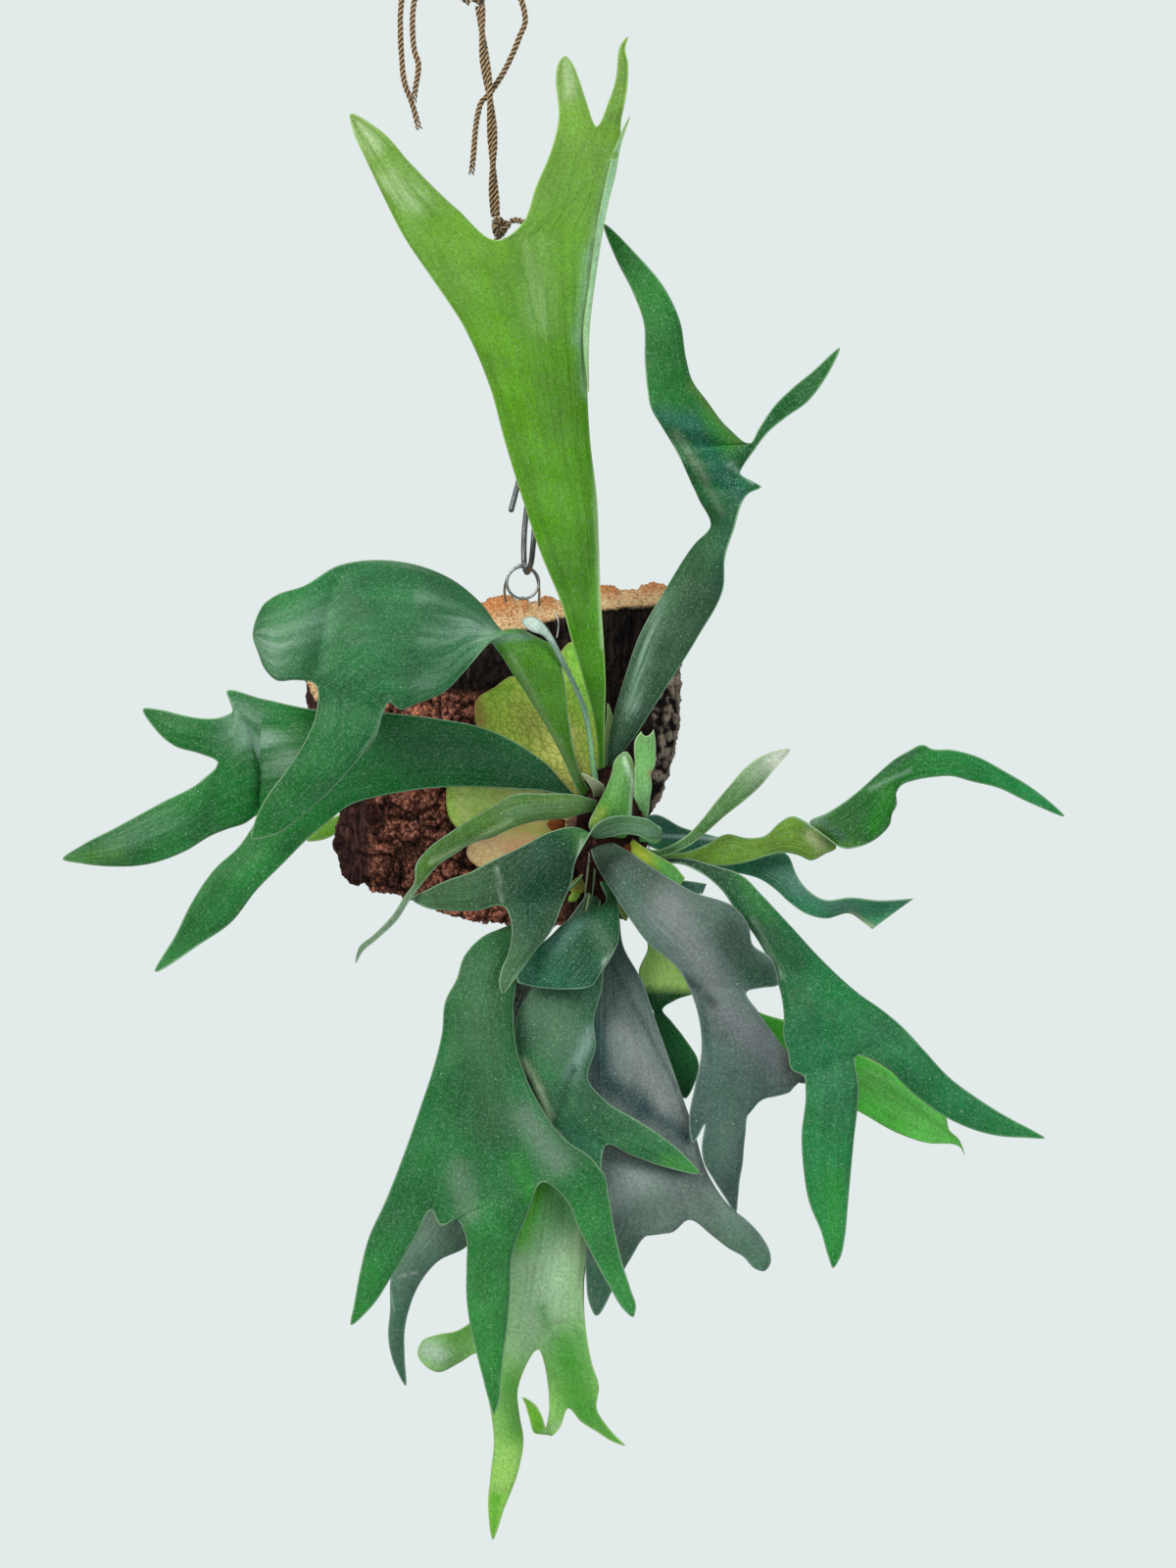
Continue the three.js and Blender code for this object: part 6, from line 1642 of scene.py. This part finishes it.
# The bent-back piece lies in shade: its pale base colour and its negative shade stroke paint light on it
dark_frond("frond_bent_back", ("#cbfd89", "#0f5a24", "#2f8a4c", "#79a24c"), {
    "rows": [
        [632, 906, 642, 901, 5], [648, 938, 658, 931, 7], [661, 966, 674, 959, 9],
        [652, 991, 706, 984, 13, 0, 2], [655, 1009, 710, 1012, 18, 0, 3], [661, 1024, 690, 1020, 21, 0, 1],
        [667, 1033, 676, 1030, 21], [665, 1042, 685, 1042, 20, 0, 1], [670, 1060, 699, 1060, 20, 0, 1],
        [678, 1082, 713, 1086, 20, 0, 1], [688, 1104, 710, 1102, 19]],
    "tip": [699, 1121, 18],
    "shade": [(660, 985, 690, 1005, 22, -0.5)],
}, turn=(0.48, 0.53), scurf=0.2)
dark_frond("frond_big_right", ("#043119", "#196d3b", "#248e45", "#3c7a45"), {
    "rows": [
        [636, 890, 644, 880, 13], [665, 886, 668, 876, 17], [690, 881, 700, 876, 24],
        [712, 889, 727, 883, 32], [736, 908, 758, 894, 38, 0, 1], [750, 928, 778, 914, 43, 0, 2],
        [775, 962, 805, 943, 49, 0, 3], [793, 1000, 838, 979, 54, 0, 4], [800, 1040, 879, 1016, 58, 0, 5],
        [799, 1056, 898, 1029, 59, 0, 5], [804, 1074, 912, 1040, 60, 0, 4],
        [808, 1092, 921, 1048, 60.5, 0, 3], [820, 1098, 927, 1054, 61, 0, 2]],
    "notch": [0.5, 874, 1078, 62],
    "lobes": [{
        "rows": [
            [822, 1112, 876, 1108, 61, 0, 2], [818, 1160, 871, 1165, 60, 0, 3],
            [820, 1193, 868, 1197, 59, 0, 2], [826, 1228, 865, 1231, 58.5, 0, 1],
            [838, 1257, 862, 1262, 58, 0, 1], [845, 1282, 857, 1284, 57]],
        "tip": [850, 1294, 56],
    }, {
        "rows": [
            [905, 1090, 944, 1073, 61, 0, 2], [929, 1113, 966, 1097, 60, 0, 2],
            [967, 1141, 998, 1121, 58, 0, 1], [1018, 1159, 1034, 1143, 56], [1046, 1161, 1055, 1154, 55]],
        "tip": [1066, 1161, 54],
    }],
    # Painted shade near the upper left
    "shade": [(780, 945, 812, 985, 14, 0.6)],
    # The narrow grey stain down the left edge is a painted highlight
    "stains_and_painted_light": [
        (755, 893, 785, 938, 9, 0.35, "#2f8a22"), (770, 940, 798, 996, 4, 0.5, "#84a48c"),
        (838, 985, 880, 1040, 16, 0.5, "#0f7a38"), (900, 1062, 1000, 1135, 13, 0.35, "#137a46"),
        (850, 1205, 852, 1282, 12, 0.6, "#2a8f26"), (818, 1060, 850, 1110, 20, 0.3, "#1f6e50")],
})
dark_frond("frond_wavy_right", ("#689e22", "#0b6609", "#219e4e", "#6f9a30"), {
    "rows": [
        [645, 882, 650, 873, 6], [672, 877, 672, 871, 9], [700, 880, 702, 869, 12], [726, 883, 722, 861, 15],
        [745, 883, 742, 851, 18, 0, 1], [762, 880, 762, 855, 20], [781, 874, 780, 853, 22],
        [800, 870, 796, 839, 25, 0, 1], [816, 873, 807, 833, 28, 2, 1], [828, 878, 821, 838, 33, 6],
        [842, 871, 834, 847, 36, 10], [853, 865, 846, 856, 38, 13], [850, 858, 857, 864, 40, 14],
        [836, 847, 864, 866, 41.5, 12], [826, 839, 872, 865, 42.5, 9], [845, 829, 883, 862, 43.5, 6, 1],
        [869, 813, 899, 852, 44.5, 3, 2], [881, 803, 908, 841, 45, 1, 3], [893, 792, 910, 831, 45.5, 0, 3],
        [904, 782, 915, 821, 46, 0, 2], [914, 774, 914, 810, 46.5, 0, 2], [926, 767, 919, 802, 47, 0, 1],
        [942, 760, 934, 796, 47, 0, 1], [950, 764, 951, 793, 46.8, 0, 1], [969, 765, 971, 792, 46, 0, 1],
        [994, 771, 990, 797, 44, 0, 1], [1027, 788, 1018, 804, 41], [1056, 806, 1048, 818, 37]],
    "tip": [1086, 833, 34],
    # Painted light over the crevice where the blade folds back, and painted shade past it
    "shade": [(831, 843, 850, 858, 2, -0.9), (862, 846, 886, 826, 12, 0.2)],
    # The pale yellow stain is a painted highlight and the grey lines a painted sheen
    "stains_and_painted_light": [
        (828, 852, 844, 868, 7, 0.7, "#d0dca0"), (735, 870, 820, 856, 1.5, 0.5, "#5f7a22"),
        (855, 850, 895, 820, 14, 0.7, "#0f5e1c"), (826, 842, 880, 800, 4, 0.6, "#84a48f"),
        (888, 805, 928, 786, 2.2, 0.6, "#84a48f"), (892, 842, 908, 812, 11, 0.6, "#2a8a1c"),
        (886, 797, 932, 768, 4, 0.6, "#1d5436"), (838, 838, 860, 856, 4, 0.6, "#3f5a50"),
        (844, 866, 851, 864, 3, 0.7, "#8ab81e")],
}, turn=(0.35, 0.5))
dark_frond("frond_twisted_right", ("#399761", "#2a895d", "#3e9666", "#3c7a50"), {
    "rows": [
        [645, 856, 650, 836, 1], [668, 866, 668, 831, -1], [690, 874, 696, 844, -1], [720, 884, 725, 852, 1],
        [744, 889, 758, 860, 4, 0, 1], [778, 898, 785, 868, 8, 0, 2], [792, 908, 802, 871, 11, 0, 2],
        [806, 921, 813, 893, 14, 0, 1], [824, 933, 823, 907, 16, 2], [842, 937, 840, 918, 17, 6],
        [868, 932, 868, 916, 18, 10], [881, 941, 897, 919, 18, 6], [890, 948, 932, 917, 18, 2]],
    "stains_and_painted_light": [
        (665, 836, 738, 866, 22, 0.85, "#174440"), (675, 853, 738, 856, 1.8, 0.8, "#a8c0bc"),
        (785, 886, 815, 902, 14, 0.7, "#3f6a5c"), (815, 902, 868, 928, 12, 0.6, "#5f8a7c"),
        (868, 933, 888, 947, 4, 0.85, "#c2c49c"), (890, 928, 930, 918, 9, 0.5, "#246450")],
})
dark_frond("frond_stub_right", ("#1f5a44", "#2e6545", "#5a8f7c", "#3c7a45"), {
    "rows": [
        [634, 898, 640, 889, 13], [660, 906, 664, 896, 18], [690, 911, 694, 898, 20],
        [708, 912, 710, 900, 21], [717, 912, 721, 902, 21]],
})

# Old fronds with a grey bloom
# The oldest blades, whose green has dulled to slate and purple-grey, and the thread-like one with a downy
# tip.


def grey_frond(name, colours, part, grey="#868c8c"):
    finish = frond_finish("slate_" + name, colours, scurf=0.24, drift=0.25, grey=grey, rib_colour="#8b9a94",
                          rim="#8fa39a")
    blade_piece(name, part, finish)


grey_frond("frond_grey_right", ("#2b4836", "#537166", "#2b4a40", "#5c7a68"), {
    "rows": [
        [612, 874, 622, 864, 22], [603, 868, 627, 861, 34], [609, 884, 642, 870, 40, 0, 2],
        [625, 910, 668, 887, 46, 0, 3], [643, 938, 707, 910, 51, 0, 4], [665, 966, 753, 929, 55, 0, 5],
        [681, 978, 764, 945, 56.5, 0, 5], [692, 989, 768, 964, 57.5, 0, 4], [703, 1008, 786, 977, 58, 2, 3]],
    "notch": [0.65, 762, 1012, 58],
    "lobes": [{
        "rows": [
            [712, 1033, 774, 1033, 56, 0, 4], [716, 1070, 797, 1065, 54, 0, 4], [709, 1108, 809, 1079, 52]],
        "notch": [0.6, 763, 1138, 50],
        "lobes": [{
            "rows": [[703, 1143, 761, 1155, 50]], "notch": [0.3, 719, 1147, 49],
            "lobes": [{
                "rows": [[704, 1157, 713, 1158, 49]], "tip": [707, 1167, 49],
            }, {
                "rows": [
                    [716, 1170, 759, 1172, 48.5, 0, 1], [718, 1185, 758, 1186, 48, 0, 1],
                    [727, 1202, 755, 1203, 46.5], [739, 1221, 753, 1223, 45]],
                "tip": [751, 1237, 44],
            }],
        }, {
            "rows": [
                [778, 1122, 811, 1087, 49.5, 0, 1], [795, 1118, 817, 1092, 49], [806, 1114, 821, 1096, 48.5],
                [811, 1105, 825, 1099, 48]],
            "tip": [823, 1105, 47.5],
        }],
    }, {
        "rows": [[778, 1008, 792, 990, 57]], "tip": [794, 1005, 56],
    }],
    # Painted shade on the lower tip and the upper blade
    "shade": [
        (748, 1120, 744, 1215, 18, 0.45), (700, 935, 735, 975, 20, 0.15), (748, 950, 782, 998, 18, 0.55)],
    # The darkest stain is the painted shadow under the fold, where the lower blade passes behind
    "stains_and_painted_light": [
        (622, 868, 660, 900, 16, 0.3, "#4c5a48"), (640, 905, 668, 955, 12, 0.4, "#3f6f64"),
        (682, 925, 728, 1000, 22, 0.6, "#8f9094"), (745, 955, 768, 990, 17, 0.9, "#17462c"),
        (768, 992, 786, 1000, 12, 0.8, "#27543c"), (742, 1035, 798, 1085, 22, 0.65, "#79777f"),
        (702, 999, 728, 1024, 6, 0.85, "#122729"), (710, 1030, 716, 1100, 9, 0.5, "#4c6c66"),
        (742, 1120, 738, 1190, 13, 0.4, "#658c7c"), (716, 1012, 724, 1080, 4, 0.4, "#2c4a48")],
})
grey_frond("frond_purple_front", ("#274d39", "#747f7d", "#447352", "#5c7a68"), {
    "rows": [
        [618, 900, 630, 896, 14], [622, 930, 632, 930, 26], [614, 967, 636, 965, 32],
        [604, 1000, 654, 999, 36, 0, 2], [597, 1050, 672, 1050, 39, 0, 3], [592, 1100, 689, 1098, 41, 0, 3],
        [592, 1150, 707, 1150, 42, 0, 3], [594, 1200, 723, 1199, 42, 0, 2], [597, 1245, 745, 1231, 42]],
    "notch": [0.7, 702, 1245, 43],
    "lobes": [{
        "rows": [
            [597, 1262, 687, 1257, 43, 0, 1], [597, 1278, 661, 1260, 43, 0, 1],
            [598, 1304, 643, 1285, 43, 0, 1], [601, 1329, 628, 1311, 42]],
        "tip": [607, 1342, 42],
    }, {
        "rows": [
            [727, 1261, 764, 1247, 43, 0, 1], [744, 1274, 778, 1263, 43, 0, 1], [758, 1282, 786, 1279, 43],
            [771, 1295, 786, 1290, 42.5]],
        "tip": [780, 1297, 42],
    }],
    # Painted shade on the upper blade
    "shade": [(630, 985, 640, 1040, 18, 0.4)],
    # The dark teal stains across the blade and the dark band above the lobes are a painted shadow, and the
    # pale grey stain on the left lobe a painted sheen
    "stains_and_painted_light": [
        (606, 1052, 620, 1106, 10, 0.8, "#163f44"), (620, 1106, 655, 1130, 13, 0.9, "#0f3338"),
        (655, 1130, 700, 1160, 10, 0.85, "#173a3e"), (626, 986, 655, 1043, 3, 0.65, "#2c3f3c"),
        (655, 1043, 690, 1110, 3, 0.6, "#2c3f3c"), (640, 980, 668, 1040, 2.5, 0.4, "#3a4c48"),
        (636, 1050, 678, 1128, 11, 0.4, "#999d9f"), (608, 1036, 614, 1078, 7, 0.5, "#4f7f78"),
        (625, 1222, 665, 1192, 15, 0.5, "#a2aeaa"), (612, 1178, 690, 1196, 7, 0.7, "#2a403e"),
        (745, 1250, 772, 1285, 13, 0.55, "#4a7860"), (603, 1290, 612, 1335, 12, 0.7, "#356a52")],
})
grey_frond("frond_grey_back_left", ("#3a5a48", "#779784", "#38724e", "#5c7a68"), {
    "rows": [
        [606, 902, 614, 898, 1], [578, 940, 600, 938, 4], [526, 996, 572, 1002, 12],
        [506, 1056, 545, 1062, 19], [470, 1140, 520, 1142, 26, 0, 1], [440, 1210, 500, 1222, 31, 0, 2],
        [414, 1262, 476, 1272, 33, 0, 2], [405, 1284, 447, 1287, 33, 0, 1], [399, 1303, 430, 1307, 33],
        [398, 1337, 418, 1334, 32], [396, 1363, 413, 1358, 31], [401, 1389, 413, 1386, 30]],
    "tip": [414, 1414, 30],
    # The near-black stain at its upper end is a painted shadow, where the fronds in front cover it
    "stains_and_painted_light": [
        (526, 990, 532, 1070, 16, 1.0, "#0c1c14"), (428, 1290, 402, 1385, 13, 0.5, "#375c4c"),
        (406, 1303, 425, 1298, 1.2, 0.5, "#c4d2c8"), (399, 1318, 402, 1338, 1.2, 0.35, "#c4d2c8")],
})
grey_frond("frond_thread", ("#a9f39f", "#82b992", "#cfe5d8", "#8fb8a4"), {
    "rows": [
        [606, 806, 612, 802, 19], [602, 782, 608, 780, 26], [599, 752, 604, 750, 33],
        [594, 727, 599, 724, 39], [580, 692, 584, 689, 47], [568, 670, 573, 667, 56],
        [560, 655, 565, 651, 62], [553, 648, 558, 640, 64.5], [544, 645, 550, 632, 66],
        [536, 640, 541, 629, 66]],
    "tip": [532, 633, 66],
    "stains_and_painted_light": [(541, 633, 560, 652, 8, 0.8, "#dcf4e6"), (575, 668, 606, 745, 1.2, 0.7, "#3f6e5a")],
}, grey="#dcefe4")

# Young and dried fronds
# Half-grown blades, pale with the down that they unroll in, a sliver of one behind the top frond, the leaf
# tip that looks past the left edge of the bark, and one that curled as it dried.


def young_frond(name, colours, part):
    finish = frond_finish("downy_" + name, colours, scurf=0.4, drift=0.25, grey="#b7cfae",
                          rib_colour="#a4cc92", rim="#bcd6a6", dark=0.85)
    blade_piece(name, part, finish, fine=14)


young_frond("frond_young_upright", ("#6dc052", "#56963a", "#6da25f", "#7fae6c"), {
    "rows": [
        [615, 858, 635, 858, 23], [601, 840, 644, 843, 37, 0, 3], [609, 823, 645, 820, 42, 0, 5],
        [617, 808, 646, 803, 43, 0, 4], [624, 790, 647, 786, 44, 0, 3], [628, 775, 645, 775, 45, 0, 1]],
    "tip": [639, 767, 45],
    "folds": [(636, 772, 646, 800, 3.5, 1.2), (646, 800, 642, 834, 3.5, 1.0)],
    "stains_and_painted_light": [
        (643, 776, 652, 800, 4, 0.8, "#7a9a3c"), (637, 774, 646, 800, 2, 0.8, "#cfeccc"),
        (646, 800, 642, 836, 2, 0.7, "#cfeccc"), (606, 838, 615, 828, 5, 0.6, "#b8cc44")],
})
young_frond("frond_young_toothed", ("#5f9b48", "#91d47f", "#5ea348", "#7fae6c"), {
    "rows": [
        [642, 846, 650, 839, 11], [651, 829, 661, 832, 17], [647, 818, 663, 816, 20, 0, 1],
        [647, 798, 665, 800, 22, 0, 1], [647, 788, 664, 790, 23, 0, 1], [648, 779, 668, 782, 24, 0, 1],
        [647, 766, 669, 770, 25, 0, 1], [648, 755, 669, 757, 26], [654, 746, 667, 744, 26, 0, 0, 660, 751]],
    "stains_and_painted_light": [(663, 788, 665, 792, 2.5, 0.8, "#d88a5c"), (652, 790, 654, 826, 4, 0.4, "#58a048")],
})
young_frond("frond_young_right", ("#327428", "#3d7631", "#9eb596", "#7fae6c"), {
    "rows": [
        [648, 872, 650, 862, 15], [676, 874, 672, 867, 24], [705, 862, 700, 853, 26],
        [722, 848, 715, 838, 29, 0, 1], [739, 833, 730, 819, 31, 0, 1], [758, 818, 745, 801, 33, 0, 1],
        [775, 803, 760, 784, 34, 0, 1], [790, 785, 778, 771, 35]],
    "tip": [806, 765, 36],
    "stains_and_painted_light": [
        (705, 862, 770, 800, 13, 0.8, "#44782a"), (770, 796, 786, 780, 9, 0.5, "#98ac90"),
        (790, 776, 804, 766, 9, 0.85, "#dce0d4")],
})
young_frond("frond_sliver", ("#a4c46c", "#bcd88c", "#b4d884", "#a4c488"), {
    "rows": [
        [616, 801, 623, 800, -2], [615, 770, 621, 768, 0], [617, 745, 624, 743, 2], [619, 730, 625, 729, 3]],
    "tip": [620, 717, 3],
})
young_frond("frond_dry_curl", ("#6e6450", "#a4a284", "#c4c8a4", "#a4a284"), {
    "rows": [[606, 815, 615, 813, 22], [603, 804, 616, 801, 29], [597, 795, 606, 794, 31]],
    "tip": [593, 789, 32],
})

# The back leaf lies along the back of the bark, a little behind it
BACK_LEAF_SEAT = 1.4
young_frond("leaf_back", ("#5f9b1c", "#6cb01c", "#7cc024", "#a8c89a"), {
    "rows": [[392, 826, 392, 846, bark_back(392) - BACK_LEAF_SEAT],
             [345, 832, 346, 850, bark_back(345) - BACK_LEAF_SEAT], [325, 843, 329, 857, -49]],
    "tip": [313, 858, -48],
})

# Stubs of old stalks that stand out of the crown, from fresh green to fox-red, each with its colour
stalk_stubs = {
    "stub_fox_red": ("#b85a24", [[577, 837, 575, 847, 14], [566, 834, 564, 848, 17]], [558, 841, 18]),
    "stub_pink": ("#a87464", [[592, 833, 592, 845, 17], [583, 834, 583, 844, 19]], [577, 839, 19]),
    "stub_rusty": ("#7a2c14", [[622, 856, 622, 866, 27], [634, 858, 634, 872, 27]], [648, 868, 24]),
    "stub_yellow": ("#a8a43c", [[604, 888, 604, 898, 16], [592, 893, 592, 912, 18]], [580, 908, 18]),
    "stub_lime": ("#94bc4c", [[592, 904, 592, 914, 17], [586, 908, 586, 920, 18]], [580, 920, 18]),
    "stalk_pale": ("#8c9c7c", [[601, 868, 604, 868, 24], [598, 895, 600, 896, 23]], [595, 930, 20]),
    "stalk_edge": ("#6c8468", [[607, 872, 610, 872, 24], [605, 900, 607, 900, 23]], [602, 930, 20]),
    "stalk_green": ("#54b43c", [[614, 882, 618, 882, 23], [617, 905, 622, 904, 22]], [622, 926, 20]),
    "stub_cream": ("#cce07c", [[628, 914, 636, 916, 18], [630, 926, 642, 930, 18]], [639, 940, 18]),
}
for name, (colour, rows, tip) in stalk_stubs.items():
    finish = frond_finish("cut_" + name, (colour,) * 4, scurf=0.15, rim=colour, dark=0.5)
    blade_piece(name, {"rows": rows, "tip": tip}, finish, fine=6, wave=0, node="crown")
